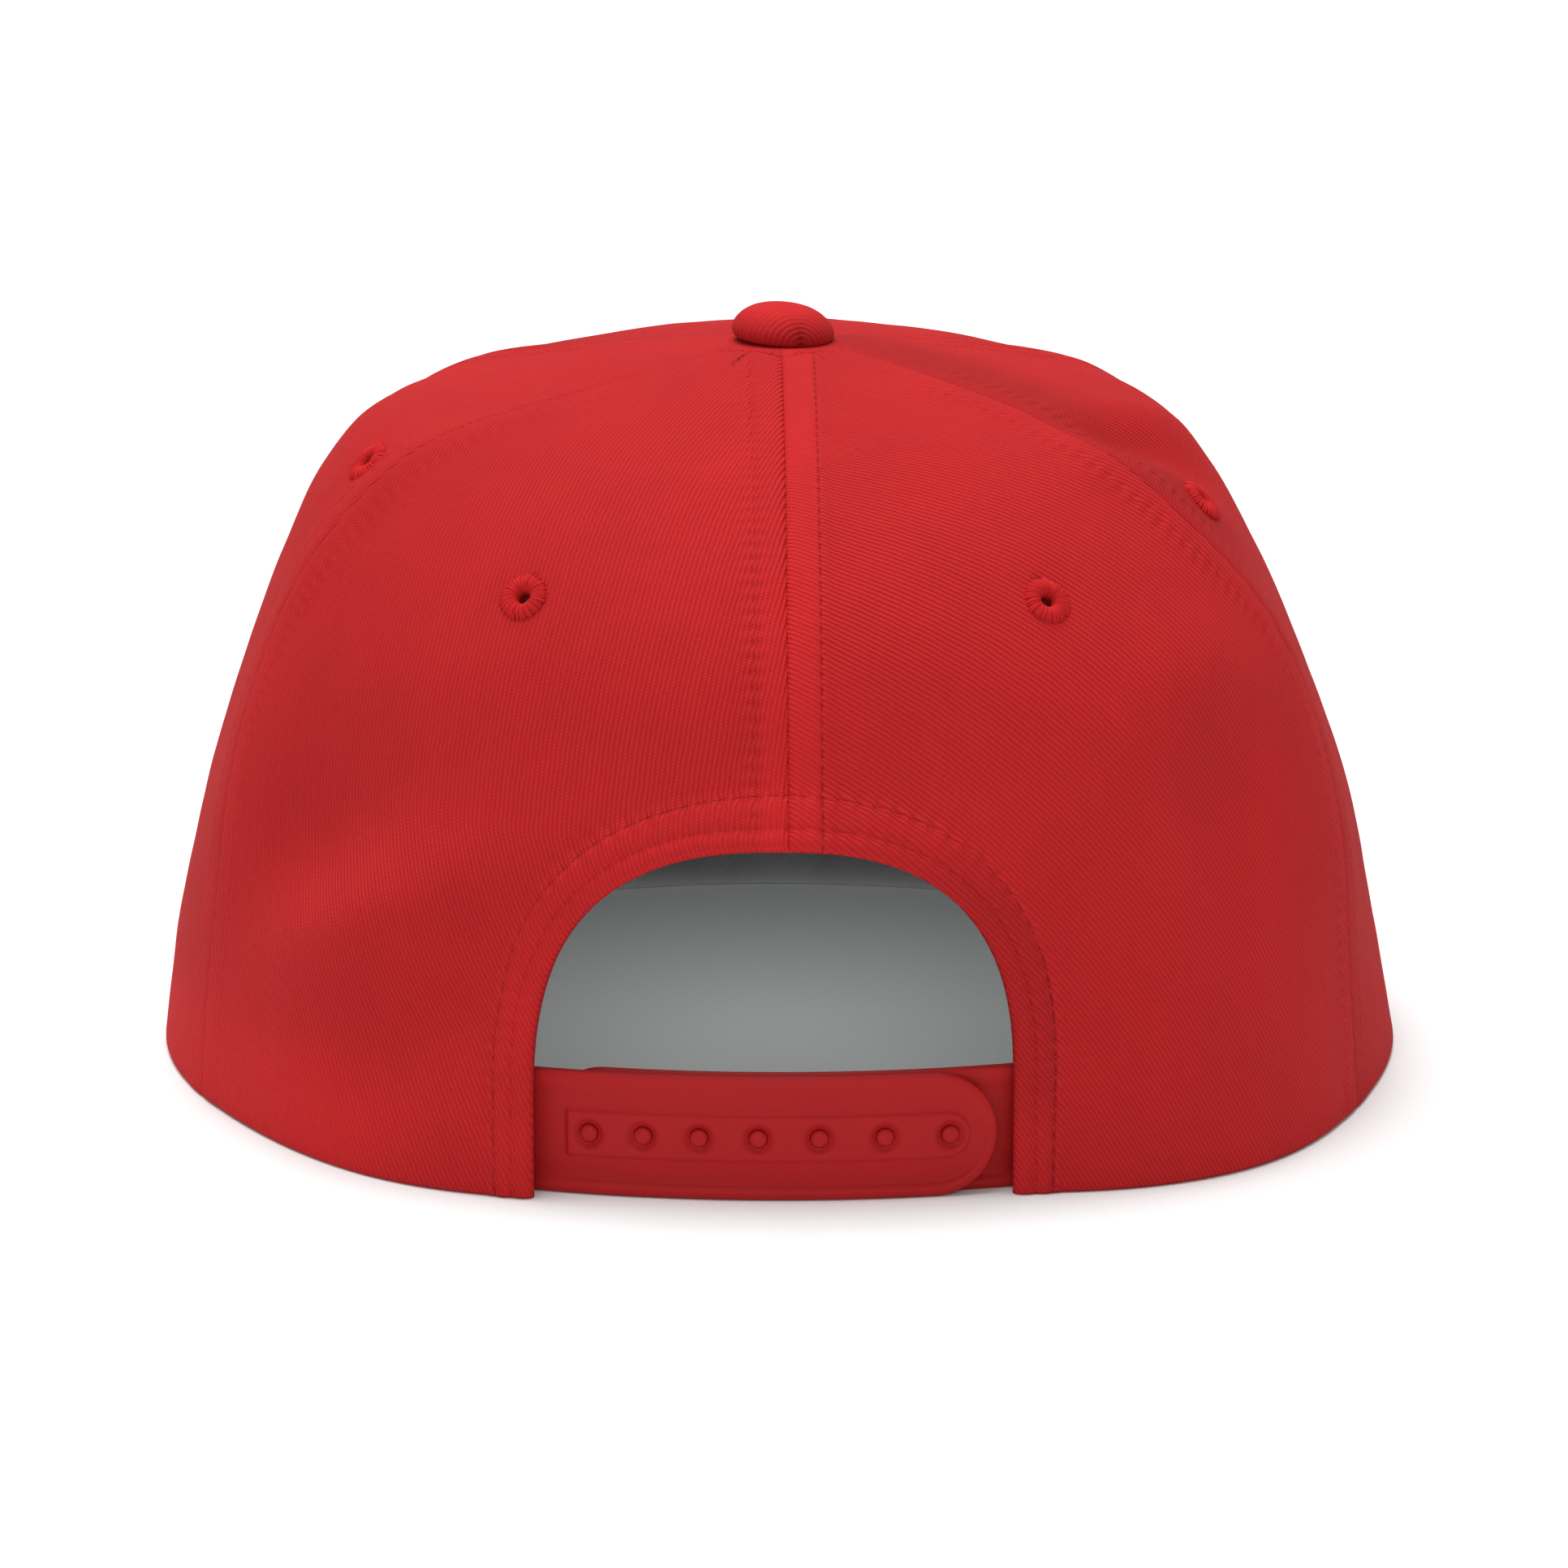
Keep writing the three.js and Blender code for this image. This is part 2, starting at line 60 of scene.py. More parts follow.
lens = bpy.data.cameras.new("camera")
lens.lens = lens.sensor_width * camera_distance / picture_width
camera = add_object("camera", lens)
camera.location = Vector((camera_target + camera_distance * toward_camera) * MM)
camera.rotation_euler = (math.pi / 2 - camera_height_angle, 0, 0)
bpy.context.scene.camera = camera
bpy.context.scene.view_settings.view_transform = "Standard"
bpy.context.scene.view_settings.look = "None"


# Floor and light
# A sheet of white studio paper under the cap, a white room round it, a wide soft box overhead,
# a smaller one behind the camera, and a small lamp in the crown that lights the floor inside.
def new_material(name):
    material = bpy.data.materials.new(name)
    material.use_nodes = True
    return material, material.node_tree.nodes["Principled BSDF"]


def set_inputs(material, node, values):
    for key, value in values.items():
        if isinstance(value, bpy.types.NodeSocket):
            material.node_tree.links.new(value, node.inputs[key])
        else:
            node.inputs[key].default_value = value


def add_node(material, kind, inputs=(), **settings):
    made = material.node_tree.nodes.new(kind)
    for key, value in settings.items():
        setattr(made, key, value)
    set_inputs(material, made, dict(inputs))
    return made


def noise_of(material, place, scale, detail):
    made = add_node(material, "ShaderNodeTexNoise", {"Vector": place, "Scale": scale, "Detail": detail})
    return made.outputs["Fac"]


def mix_colours(material, share, low, high):
    inputs = {0: share, 6: (*low, 1), 7: (*high, 1)}
    return add_node(material, "ShaderNodeMix", inputs, data_type="RGBA").outputs[2]


def bump_of(material, height, distance):
    made = add_node(material, "ShaderNodeBump", {"Height": height, "Strength": 1.0, "Distance": distance})
    return made.outputs["Normal"]


paper, paper_shader = new_material("studio_paper")
paper_place = add_node(paper, "ShaderNodeTexCoord").outputs["Object"]
paper_grain = noise_of(paper, paper_place, 900.0, 2.0)
paper_colour = mix_colours(paper, paper_grain, (0.83, 0.855, 0.855), (0.87, 0.895, 0.895))
set_inputs(paper, paper_shader, {"Base Color": paper_colour, "Roughness": 0.9, "Specular IOR Level": 0.1})

floor_reach = 4.0
floor_mesh = bpy.data.meshes.new("floor")
corners = [(-1, -1), (1, -1), (1, 1), (-1, 1)]
floor_mesh.from_pydata([(x * floor_reach, y * floor_reach, 0) for x, y in corners], [], [(0, 1, 2, 3)])
floor_mesh.materials.append(paper)
floor = add_object("floor", floor_mesh)

room = bpy.data.worlds.new("white_room")
room.use_nodes = True
set_inputs(room, room.node_tree.nodes["Background"], {"Color": (1, 1, 1, 1), "Strength": 0.42})
bpy.context.scene.world = room


def soft_box(name, place, target, size, power):
    light = bpy.data.lights.new(name, "AREA")
    light.shape = "RECTANGLE"
    light.size, light.size_y = size
    light.energy = power
    made = add_object(name, light)
    made.location = place
    made.rotation_euler = (Vector(target) - Vector(place)).to_track_quat("-Z", "Y").to_euler()


soft_box("soft_box_overhead", (-0.25, 0.38, 2.5), (0, 0.1, 0), (1.8, 1.8), 72)
soft_box("soft_box_behind_camera", (0, -1.5, 0.62), (0, 0, 0.04), (0.9, 0.35), 4.3)
soft_box("lamp_inside_crown", (0, 0.008, 0.088), (0, 0.008, 0), (0.05, 0.05), 0.018)


# Crown shape
# The crown is a tall round-shouldered dome that stands open on the floor. Its skin is an oval
# on each ring from the brim line to the top, with the soft swells and hollows of worn cloth.
# A swell is long and wide, turned on the skin in degrees, and pushes it out or in.
ring_columns = ("back_height", "back", "side_height", "left", "right",
                "front_height", "front", "left_seam", "right_seam")
rings = [dict(zip(ring_columns, row)) for row in (
    (0, 88, 0, 94.2, 93.8, 0, 88, 67, 63.5),
    (19, 87.4, 19, 91.7, 90.2, 19, 88.5, 67, 65.5),
    (38, 85.5, 38, 87.5, 86.4, 38, 88, 68, 68),
    (56, 81.5, 57, 82, 80, 59, 85, 69.3, 70),
    (73, 75, 74, 75.8, 72.6, 77, 78, 68.3, 66.5),
    (87, 64, 87.5, 69.4, 65.4, 91, 67, 65.3, 60.5),
    (97, 49, 97, 60.2, 56.4, 100.5, 49, 62.3, 57.5),
    (103.2, 32, 102, 41, 40, 105, 30, 60.3, 58),
    (106.8, 15, 106, 20, 20, 107.2, 14, 58, 58.5),
    (108, 0, 108, 0, 0, 108, 0, 57, 58),
)]
swell_columns = ("place", "azimuth", "height", "long", "wide", "turn", "out")
swells = [dict(zip(swell_columns, row)) for row in (
    ("left back corner of the base", -34, 0, 62, 33, 90, 7),
    ("right back corner of the base", 42, 0, 62, 33, 90, 9.2),
    ("left back seam", -67, 55, 30, 15, 90, 2.8),
    ("right back seam", 67, 55, 30, 15, 90, 3),
    ("left hollow over the fold", -48, 47, 21, 11, 25, -3.2),
    ("left fold", -42, 36, 26, 8, 25, 1.9),
    ("left hollow beside the arch", -33, 24, 20, 9, 38, -2.6),
    ("right shoulder", 50, 67, 17, 11, 0, 2.6),
    ("right hollow", 46, 46, 15, 12, 75, -2.6),
    ("right side valley", 72, 96, 18, 6, -40, -3),
    ("right side ridge", 84, 98, 15, 5, -40, 0.8),
    ("flare over the arch", -1, 47, 30, 9, 0, 2.2),
    ("tuck right of the arch", 22, 14, 20, 10, 90, -1.6),
)]
level_push = 25
top_ring = 0.985
cloth_thickness = 1.6


def column(name):
    return np.array([ring[name] for ring in rings], float)


def smooth(values, t, beyond):
    """A smooth curve through evenly spaced values. Beyond is the value after the last one."""
    last = len(values) - 1
    x = np.clip(t, 0, 1) * last
    i = np.minimum(x.astype(int), last - 1)
    f = x - i
    padded = np.concatenate([[2 * values[0] - values[1]], values, [beyond]])
    a, b, c, d = (padded[i + k] for k in range(4))
    bend = a - 2.5 * b + 2 * c - d / 2
    twist = (d - a) / 2 + 1.5 * (b - c)
    return b + f * (c - a) / 2 + f * f * bend + f ** 3 * twist


def height_at(name, t):
    values = column(name)
    return smooth(values, t, values[-2])


def reach_at(name, t):
    values = column(name)
    return np.maximum(smooth(values, t, -values[-2]), 1e-6)


def body(azimuth, t):
    """The plain oval crown. Azimuth 0 is the back, and it grows to the right."""
    angle = np.radians(azimuth)
    across, along = np.sin(angle), -np.cos(angle)
    wide = np.where(across < 0, reach_at("left", t), reach_at("right", t))
    deep = np.where(along < 0, reach_at("back", t), reach_at("front", t))
    reach = 1 / np.hypot(across / wide, along / deep)
    end = np.where(along < 0, height_at("back_height", t), height_at("front_height", t))
    z = height_at("side_height", t) * across ** 2 + end * along ** 2
    return np.stack([across * reach, along * reach, z], -1)


def unit(vectors):
    return vectors / np.maximum(np.linalg.norm(vectors, axis=-1, keepdims=True), 1e-12)


def normal_of(surface, azimuth, t):
    low, high = np.maximum(t - 0.002, 0), np.minimum(t + 0.002, 1)
    turn = surface(azimuth + 0.2, t) - surface(azimuth - 0.2, t)
    return unit(np.cross(turn, surface(azimuth, high) - surface(azimuth, low)))


def ring_at_height(surface, azimuth, z):
    low, high = np.zeros(np.shape(azimuth)), np.full(np.shape(azimuth), 0.95)
    for step in range(40):
        middle = (low + high) / 2
        above = surface(azimuth, middle)[..., 2] > z
        low, high = np.where(above, low, middle), np.where(above, middle, high)
    return (low + high) / 2


placed_swells = []
for swell in swells:
    azimuth = np.array(float(swell["azimuth"]))
    t = ring_at_height(body, azimuth, swell["height"]) if swell["height"] > 0 else np.array(0.0)
    centre = body(azimuth, t)
    around = unit(body(azimuth + 0.5, t) - centre)
    climb = unit(np.cross(normal_of(body, azimuth, t), around))
    turn = math.radians(swell["turn"])
    placed_swells.append((swell, centre, around * math.cos(turn) + climb * math.sin(turn)))


def skin(azimuth, t):
    """The crown's outer skin. Near the base a swell pushes level, so the edge stays on the floor."""
    point = body(azimuth, t)
    out = np.zeros(point.shape[:-1])
    for swell, centre, axis in placed_swells:
        away = point - centre
        along = (away * axis).sum(-1)
        across = (away * away).sum(-1) - along ** 2
        out += swell["out"] * np.exp(-((along / swell["long"]) ** 2) - across / swell["wide"] ** 2)
    push = normal_of(body, azimuth, t)
    push[..., 2] *= np.minimum(point[..., 2] / level_push, 1)
    return point + push * out[..., None]


def seam_azimuth(side, t):
    values = column("left_seam" if side < 0 else "right_seam")
    return side * smooth(values, t, 2 * values[-1] - values[-2])


# Cloth
# Red cotton twill: fine oblique ribs that stand 0.72 mm apart, each made of short floats of
# yarn, with a dusty surface. It puckers a little at every stitch of a sewn row. Behind it is
# a grey backing cloth that shows inside the cap.
rib_pitch = 0.72
float_length = 0.5
stitch_pitch = 2.3
pucker_depth, slit_depth = 0.3, 0.2


def calc(material, operation, a, b=0.0, c=0.0):
    return add_node(material, "ShaderNodeMath", {0: a, 1: b, 2: c}, operation=operation).outputs[0]


def wave_of(material, turns):
    """A cosine wave between 0 and 1, once for each whole number."""
    wave = calc(material, "COSINE", calc(material, "MULTIPLY", turns, 2 * math.pi))
    return calc(material, "MULTIPLY_ADD", wave, 0.5, 0.5)


def mark_of(material, name):
    return add_node(material, "ShaderNodeAttribute", attribute_name=name).outputs["Fac"]


def bell(material, off, width):
    """A smooth hump round 0, as wide as it says."""
    share = calc(material, "DIVIDE", off, width)
    square = calc(material, "MULTIPLY", share, share)
    return calc(material, "EXPONENT", calc(material, "MULTIPLY", square, -1.0))


def woven(name, low_colour, high_colour, depth, pitch, sheen):
    """Twill whose ribs run along the second axis of the map named weave. Marks on the mesh say
    where it is pressed smooth, where painted shade darkens it and painted light pales it, how far
    off and how far along a row of stitches it is, how much the stitches pull at it, and how deep
    they have cut in, with painted shade in the cuts."""
    material, shader = new_material(name)
    times = partial(calc, material, "MULTIPLY")
    times_plus = partial(calc, material, "MULTIPLY_ADD")
    place = add_node(material, "ShaderNodeUVMap", uv_map="weave").outputs["UV"]
    pucker, bend, slit_with_painted_shade = 0.0, 0.0, 0.0
    for row in ("seam", "hem"):
        off, pull, dash = (mark_of(material, row + mark) for mark in ("_off", "_pull", "_dash"))
        stitch = wave_of(material, calc(material, "DIVIDE", mark_of(material, row + "_along"), stitch_pitch))
        tug = times(stitch, pull)
        cut = times(calc(material, "POWER", stitch, 0.4), dash)
        pucker = times_plus(tug, bell(material, off, 1.9), pucker)
        bend = times_plus(tug, bell(material, off, 0.7), bend)
        slit_with_painted_shade = times_plus(cut, bell(material, off, 0.17), slit_with_painted_shade)
    parts = add_node(material, "ShaderNodeSeparateXYZ", {"Vector": place})
    swayed = times_plus(noise_of(material, place, 0.16, 1.0), 0.4, parts.outputs["X"])
    phase = calc(material, "DIVIDE", times_plus(bend, 0.5, swayed), pitch)
    rib = calc(material, "POWER", wave_of(material, phase), 0.8)
    along = calc(material, "DIVIDE", parts.outputs["Y"], float_length)
    float_wave = wave_of(material, times_plus(phase, 0.5, along))
    rib = times(rib, times_plus(float_wave, 0.3, 0.7))
    pressed = mark_of(material, "pressed")
    rib = times_plus(calc(material, "SUBTRACT", rib, 0.45), times_plus(pressed, -0.7, 1.0), 0.45)
    stretch = add_node(material, "ShaderNodeMapping", {"Vector": place, "Scale": (1.1, 0.14, 1.0)})
    slub = noise_of(material, stretch.outputs[0], 1.0, 3.0)
    fuzz = noise_of(material, place, 3.2, 3.0)
    cloud = noise_of(material, place, 0.05, 2.0)
    relief = times_plus(slub, 0.3, times_plus(fuzz, 0.35, rib))

    height = times_plus(relief, depth, times(pucker, -pucker_depth))
    height = times_plus(slit_with_painted_shade, -slit_depth, height)
    # Painted highlight on the ribs' crests and painted shade in their grooves, mixed with the yarn's own
    # uneven tone.
    tone = times_plus(cloud, 0.4, times(relief, 0.55))
    tone = times_plus(pressed, 0.15, tone)
    # Painted shade darkens the cloth where this mark says so. Where the mark is below zero, it is painted
    # light that pales the cloth.
    tone = calc(material, "SUBTRACT", tone, mark_of(material, "shade"))
    # Painted shade in the stitches' cuts, which are also sunk.
    tone = times_plus(slit_with_painted_shade, -0.8, tone)
    rough = add_node(material, "ShaderNodeMapRange", {"Value": relief, "To Min": 0.95, "To Max": 0.8})
    set_inputs(material, shader, {
        "Base Color": mix_colours(material, tone, low_colour, high_colour),
        "Normal": bump_of(material, height, MM),
        "Roughness": rough.outputs[0],
        "Specular IOR Level": 0.12,
        "Sheen Weight": sheen,
        "Sheen Roughness": 0.45,
        "Sheen Tint": (*high_colour, 1),
    })
    return material


red_twill = woven("red_twill", (0.32, 0.0105, 0.0115), (0.57, 0.0175, 0.0195), 0.18, rib_pitch, 0.08)
grey_backing = woven("grey_backing", (0.26, 0.26, 0.26), (0.38, 0.38, 0.38), 0.05, 0.6, 0.05)


def grid_faces(rows, columns):
    start = (np.arange(rows - 1)[:, None] * columns + np.arange(columns - 1)).ravel()
    return np.stack([start, start + 1, start + columns + 1, start + columns], 1)


def add_piece(name, points, faces, materials, face_material=None, weave=None, marks=()):
    """One mesh piece from points in millimetres, on the body named root."""
    mesh = bpy.data.meshes.new(name)
    mesh.from_pydata((np.asarray(points) * MM).tolist(), [], [list(face) for face in faces])
    for material in materials:
        mesh.materials.append(material)
    if face_material is not None:
        mesh.polygons.foreach_set("material_index", np.asarray(face_material, np.int32))
    if weave is not None:
        corner = np.zeros(len(mesh.loops), np.int32)
        mesh.loops.foreach_get("vertex_index", corner)
        layer = mesh.uv_layers.new(name="weave")
        layer.data.foreach_set("uv", np.asarray(weave, np.float32)[corner].ravel())
    for mark, values in dict(marks).items():
        layer = mesh.attributes.new(mark, "FLOAT", "POINT")
        layer.data.foreach_set("value", np.asarray(values, np.float32))
    mesh.polygons.foreach_set("use_smooth", np.ones(len(mesh.polygons), bool))
    mesh.validate()
    piece = add_object(name, mesh)
    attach(piece, "root")
    return piece


def cloth_faces(count, quads):
    """Faces of two skins of count points each, and the walls round every free edge."""
    edges = np.concatenate([np.stack([quads[:, k], quads[:, (k + 1) % 4]], 1) for k in range(4)])
    key = edges[:, 0] * count + edges[:, 1]
    free = edges[~np.isin(key, edges[:, 1] * count + edges[:, 0])]
    walls = np.stack([free[:, 1], free[:, 0], free[:, 0] + count, free[:, 1] + count], 1)
    return np.concatenate([quads, quads[:, ::-1] + count, walls])


# Crown panels
# Five gores of twill over grey backing, sewn edge to edge with the seams pressed open and
# topstitched on both sides. The two back ones are cut out round the arch, with a turned hem.
front_seam = 121
middle_seam = 0.8
seam_row = 4.8
hem_row = 3.1
hem_pull, hem_dash, hem_outer_pull = 0.6, 0.3, 0.8
hem_outer_row = dict(along=(0, 45, 75, 96), off=(7.9, 6.0, 5.5, 6.4))
arch = dict(middle=-1, half_width=34.4, straight=17, rise=34, left_power=2.38, right_power=2.5)
arch_top_reach = 82.5
near_seam = np.array([0, .12, .28, .5, .8, 1.2, 1.8, 2.5, 3.2, 3.8, 4.3, 4.65, 5, 5.35, 5.7, 6.2, 6.9,
                      7.8, 8.9])
near_hem = np.array([0, .1, .25, .5, .85, 1.3, 1.8, 2.3, 2.7, 3.1, 3.5, 4, 4.6, 5.1, 5.5, 5.9, 6.3, 6.8,
                     7.3, 7.9, 8.5, 9.3, 10.4])
near_base = np.array([0, .15, .4, .8, 1.4, 2.2])
middle_step = 1.25


def spread(start, end, whole):
    """Distances along a line: close together at both ends and even between them."""
    reach = start[-1] + end[-1]
    share = np.minimum(1, 0.92 * whole / reach)
    steps = max(int(np.max(whole - reach * share) / middle_step), 2)
    between = np.linspace(0, 1, steps + 1)[1:-1]
    low, high = start * share[..., None], (whole[..., None] - end[::-1] * share[..., None])
    middle = low[..., -1:] + (high[..., :1] - low[..., -1:]) * between
    return np.concatenate([low, middle, high], -1)


def lengths_along(line):
    steps = np.linalg.norm(np.diff(line, axis=-2), axis=-1)
    return np.concatenate([np.zeros((*steps.shape[:-1], 1)), np.cumsum(steps, -1)], -1)


def read_along(places, lengths, line):
    """The line's coordinates at these lengths along it."""
    return np.stack([np.interp(places, lengths, line[:, k]) for k in range(line.shape[1])], -1)


def to_disc(azimuth, t):
    angle = np.radians(azimuth)
    return np.stack([(1 - t) * np.sin(angle), -(1 - t) * np.cos(angle)], -1)


def from_disc(place):
    return np.degrees(np.arctan2(place[..., 0], -place[..., 1])), 1 - np.hypot(place[..., 0], place[..., 1])


def place_evenly(azimuth, t, wanted):
    """Moves along each line of samples to the wanted lengths, and gives the disc places there."""
    lengths = lengths_along(skin(azimuth, t))
    return np.stack([read_along(*line) for line in zip(wanted, lengths, to_disc(azimuth, t))])


def distance_to(path, points):
    """How far each point is from a path, and how far along the path that is."""
    start, step = path[:-1], np.diff(path, axis=0)
    along = lengths_along(path)
    size = np.maximum((step * step).sum(1), 1e-12)
    near, place = np.empty(len(points)), np.empty(len(points))
    for first in range(0, len(points), 2000):
        part = points[first:first + 2000]
        away = part[:, None] - start
        share = np.clip((away * step).sum(2) / size, 0, 1)
        gap = np.linalg.norm(away - step * share[..., None], axis=2)
        best = gap.argmin(1)
        rows = np.arange(len(part))
        near[first:first + 2000] = gap[rows, best]
        place[first:first + 2000] = along[best] + share[rows, best] * np.sqrt(size[best])
    return near, place


def ramp(x, low, high):
    share = np.clip((x - low) / (high - low), 0, 1)
    return share * share * (3 - 2 * share)


def hump(off, width):
    return np.exp(-((off / width) ** 2))


def round_edge(off, radius):
    """1 at an edge, falling to 0 at the radius as a quarter circle."""
    return 1 - np.sqrt(1 - (1 - np.clip(off / radius, 0, 1)) ** 2)


def seam_relief(off):
    """The seam's valley, the pressed band beside it, and the groove of its stitches."""
    band = 0.3 * ramp(off, 0.1, 1.4) * (1 - ramp(off, 4.9, 7.2))
    return band - 0.28 * hump(off, 0.2) - 0.26 * hump(off - seam_row, 0.24)


def hem_relief(off, outer_row):
    """The arch's turned hem: a rolled lip, a thick band and two rows of stitching."""
    lip = -1.15 * round_edge(off, 1.5)
    band = 0.55 * (1 - ramp(off, outer_row - 0.2, outer_row + 1.4))
    return lip + band - 0.22 * hump(off - hem_row, 0.6) - 0.36 * hump(off - outer_row, 0.4)


def base_relief(off):
    return -0.8 * round_edge(off, 1.3)


def worn(points):
    """Slight unevenness of cloth, a few tenths of a millimetre."""
    return np.array([0.22 * noise.noise(Vector(p) / 17) + 0.1 * noise.noise(Vector(p) / 6) for p in points])


def shoulder_ridge(off, height):
    """Seams that aren't pressed sharp stand up a little as ridges where they cross the shoulder."""
    return 1.2 * hump(off, 5.5) * ramp(height, 55, 80) * (1 - ramp(height, 98, 105))


def panel_relief(points, seams, hem):
    """How far the outer and inner skins stand off, and the marks that the cloth's material reads, painted
    shade and light among them.
    """
    z = points[:, 2]
    out = worn(points) * ramp(z, 0, 6) + base_relief(z)
    from_top = np.hypot(points[:, 0], points[:, 1])
    offs, alongs = np.transpose([distance_to(seam["path"], points) for seam in seams], (1, 0, 2))
    weights = np.exp((offs.min(0) - offs) / 1.5)
    reliefs, rows = [], []
    pressed, shade = np.zeros(len(points)), np.zeros(len(points))
    for seam, off, along in zip(seams, offs, alongs):
        below_top = ramp(from_top, seam["top"], 2.2 * seam["top"])
        ridge = (1 - seam["sharp"]) * shoulder_ridge(off, z)
        reliefs.append(below_top * (seam["sharp"] * seam_relief(off) + ridge))
        rows.append([seam_row - off, along, seam["pull"] * below_top, seam["dash"] * below_top])
        pressed += seam["flat"] * (1 - ramp(off, seam_row, seam_row + 0.6))
        # The band beside a seam is painted paler in its lower part.
        shade -= seam["light"] * (1 - ramp(off, 2.5, 5.5)) * (1 - ramp(z, 78, 96))
        # Painted shade on a side panel beside a creased seam high on the shoulder, where the crease's shade
        # falls.
        if seam["fold"] and hem is None:
            shade += seam["fold"] * hump(off - 9, 8) * ramp(z, 70, 88)
    out = out + (weights * np.array(reliefs)).sum(0) / weights.sum(0)
    inward = 0.35 * (1 - ramp(offs.min(0), 5.6, 6.4))
    marks = row_marks("seam", rows)
    hem_off = np.full(len(points), 99.0)
    if hem is not None:
        hem_off, along = distance_to(hem["path"], points)
        outer_row = np.interp(along, hem_outer_row["along"], hem_outer_row["off"])
        out = out + hem_relief(hem_off, outer_row)
        inward = inward + 0.5 * ramp(hem_off, 0, 1.2) * (1 - ramp(hem_off, 7.4, 8.2))
        inward = inward - 0.3 * hump(hem_off, 0.6)
        same = np.ones(len(points))
        low_dash = 0.45 + hem["low_dash"] * (1 - ramp(z, 28, 42))
        marks.update(row_marks("hem", [
            [hem_off - hem_row, along, hem_pull * same, hem_dash * same],
            [outer_row - hem_off, along, hem_outer_pull * same, low_dash],
        ]))
        on_hem = 1 - ramp(hem_off, outer_row - 0.6, outer_row + 0.2)
        pressed = np.maximum(pressed, hem["flat"] * on_hem)
        # Painted shade on the hem's band up the arch's legs, where it turns away from the light.
        shade += hem["shade"] * on_hem * ramp(z, 6, 18) * (1 - ramp(z, 44, 54))
        # Painted light on the hem round the top of the arch, which faces up.
        shade -= 0.05 * on_hem * ramp(z, 40, 50)
    # Painted light on the crown's lower left, standing for light thrown up from the floor.
    shade -= 0.4 * ramp(-points[:, 0], 45, 70) * (1 - ramp(z, 6, 22))
    marks.update(pressed=pressed, shade=shade)
    return out, inward, hem_off, marks


def row_marks(kind, rows):
    """The marks of the nearest of several rows of stitches, each given as four columns."""
    table = np.array(rows)
    nearest = np.abs(table[:, 0]).argmin(0)
    columns = table[nearest, :, np.arange(table.shape[2])].T
    return {f"{kind}_{mark}": column for mark, column in zip(("off", "along", "pull", "dash"), columns)}


def gore_map(azimuth, t, middle, ribs):
    """Lays the panel flat about one of its lines. V runs along the ribs, which may bend on the way."""
    samples = np.linspace(0, 1, 300)
    climb = lengths_along(skin(np.full(300, float(middle)), samples))
    up = np.interp(t, samples, climb)
    point = skin(azimuth, t)
    right = np.hypot(point[..., 0], point[..., 1]) * np.radians((azimuth - middle + 180) % 360 - 180)
    direction = math.radians(ribs["direction"])
    along = right * math.cos(direction) + up * math.sin(direction)
    across = up * math.cos(direction) - right * math.sin(direction)
    places = np.arange(-180, 181, 1.0)
    lean = np.tan(np.radians(np.interp(places, ribs["at"], ribs["angle"])) - direction)
    density = np.interp(along, ribs["at"], ribs["density"])
    across = (across - ribs["still"]) * density - np.interp(along, places, np.cumsum(lean))
    return np.stack([across, along], -1)


eyelets = [
    dict(name="eyelet_back_left", azimuth=-31.4, ring=0.507),
    dict(name="eyelet_back_right", azimuth=32.8, ring=0.5),
    dict(name="eyelet_side_left", azimuth=-71.5, ring=0.615),
    dict(name="eyelet_side_right", azimuth=71.5, ring=0.554),
]
for eyelet in eyelets:
    azimuth, t = np.array(eyelet["azimuth"]), np.array(eyelet["ring"])
    eyelet["centre"], eyelet["out"] = skin(azimuth, t), normal_of(skin, azimuth, t)

stitch_lines = []


def add_panel(name, azimuth, t, seams, hem, middle, ribs, turned, lines):
    """One panel: its outer skin with all its relief, its inner skin, and its rows of stitches."""
    shape = azimuth.shape
    azimuth, t = azimuth.ravel(), t.ravel()
    points, out = skin(azimuth, t), normal_of(skin, azimuth, t)
    level = out.copy()
    level[:, 2] *= np.clip(points[:, 2] / 10, 0, 1)
    rise, inward, hem_off, marks = panel_relief(points, seams, hem)
    quads = grid_faces(*shape)
    if turned:
        quads = quads[:, ::-1]
    for eyelet in eyelets:
        away = np.linalg.norm(points - eyelet["centre"], axis=1)
        rise = rise - 0.2 * hump(away, 5)
        quads = quads[away[quads].min(1) > 1.5]
    outer = points + level * rise[:, None]
    inner = points - level * (cloth_thickness + inward)[:, None]
    faces = cloth_faces(len(points), quads)
    face_material = np.zeros(len(faces), int)
    backing = slice(len(quads), 2 * len(quads))
    face_material[backing] = hem_off[quads[:, ::-1]].min(1) > 7.8
    weave = gore_map(azimuth, t, middle, ribs)
    panel = add_piece(name.replace("panel", "cloth"), np.concatenate([outer, inner]), faces,
                      [red_twill, grey_backing], face_material, np.tile(weave, (2, 1)),
                      {mark: np.tile(values, 2) for mark, values in marks.items()})
    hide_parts(name)
    grid_points, grid_out = outer.reshape(*shape, 3), out.reshape(*shape, 3)
    for line in lines:
        off, along = distance_to(line["path"], points)
        away = (off - np.interp(along, line["along"], line["off"])).reshape(shape)
        picked = line["pick"]
        path, facing = crossing(picked(grid_points), picked(grid_out), picked(away))
        below_top = np.hypot(path[:, 0], path[:, 1]) > 1.9 * line["top"]
        stitch_lines.append((path[below_top], facing[below_top]))
    return panel


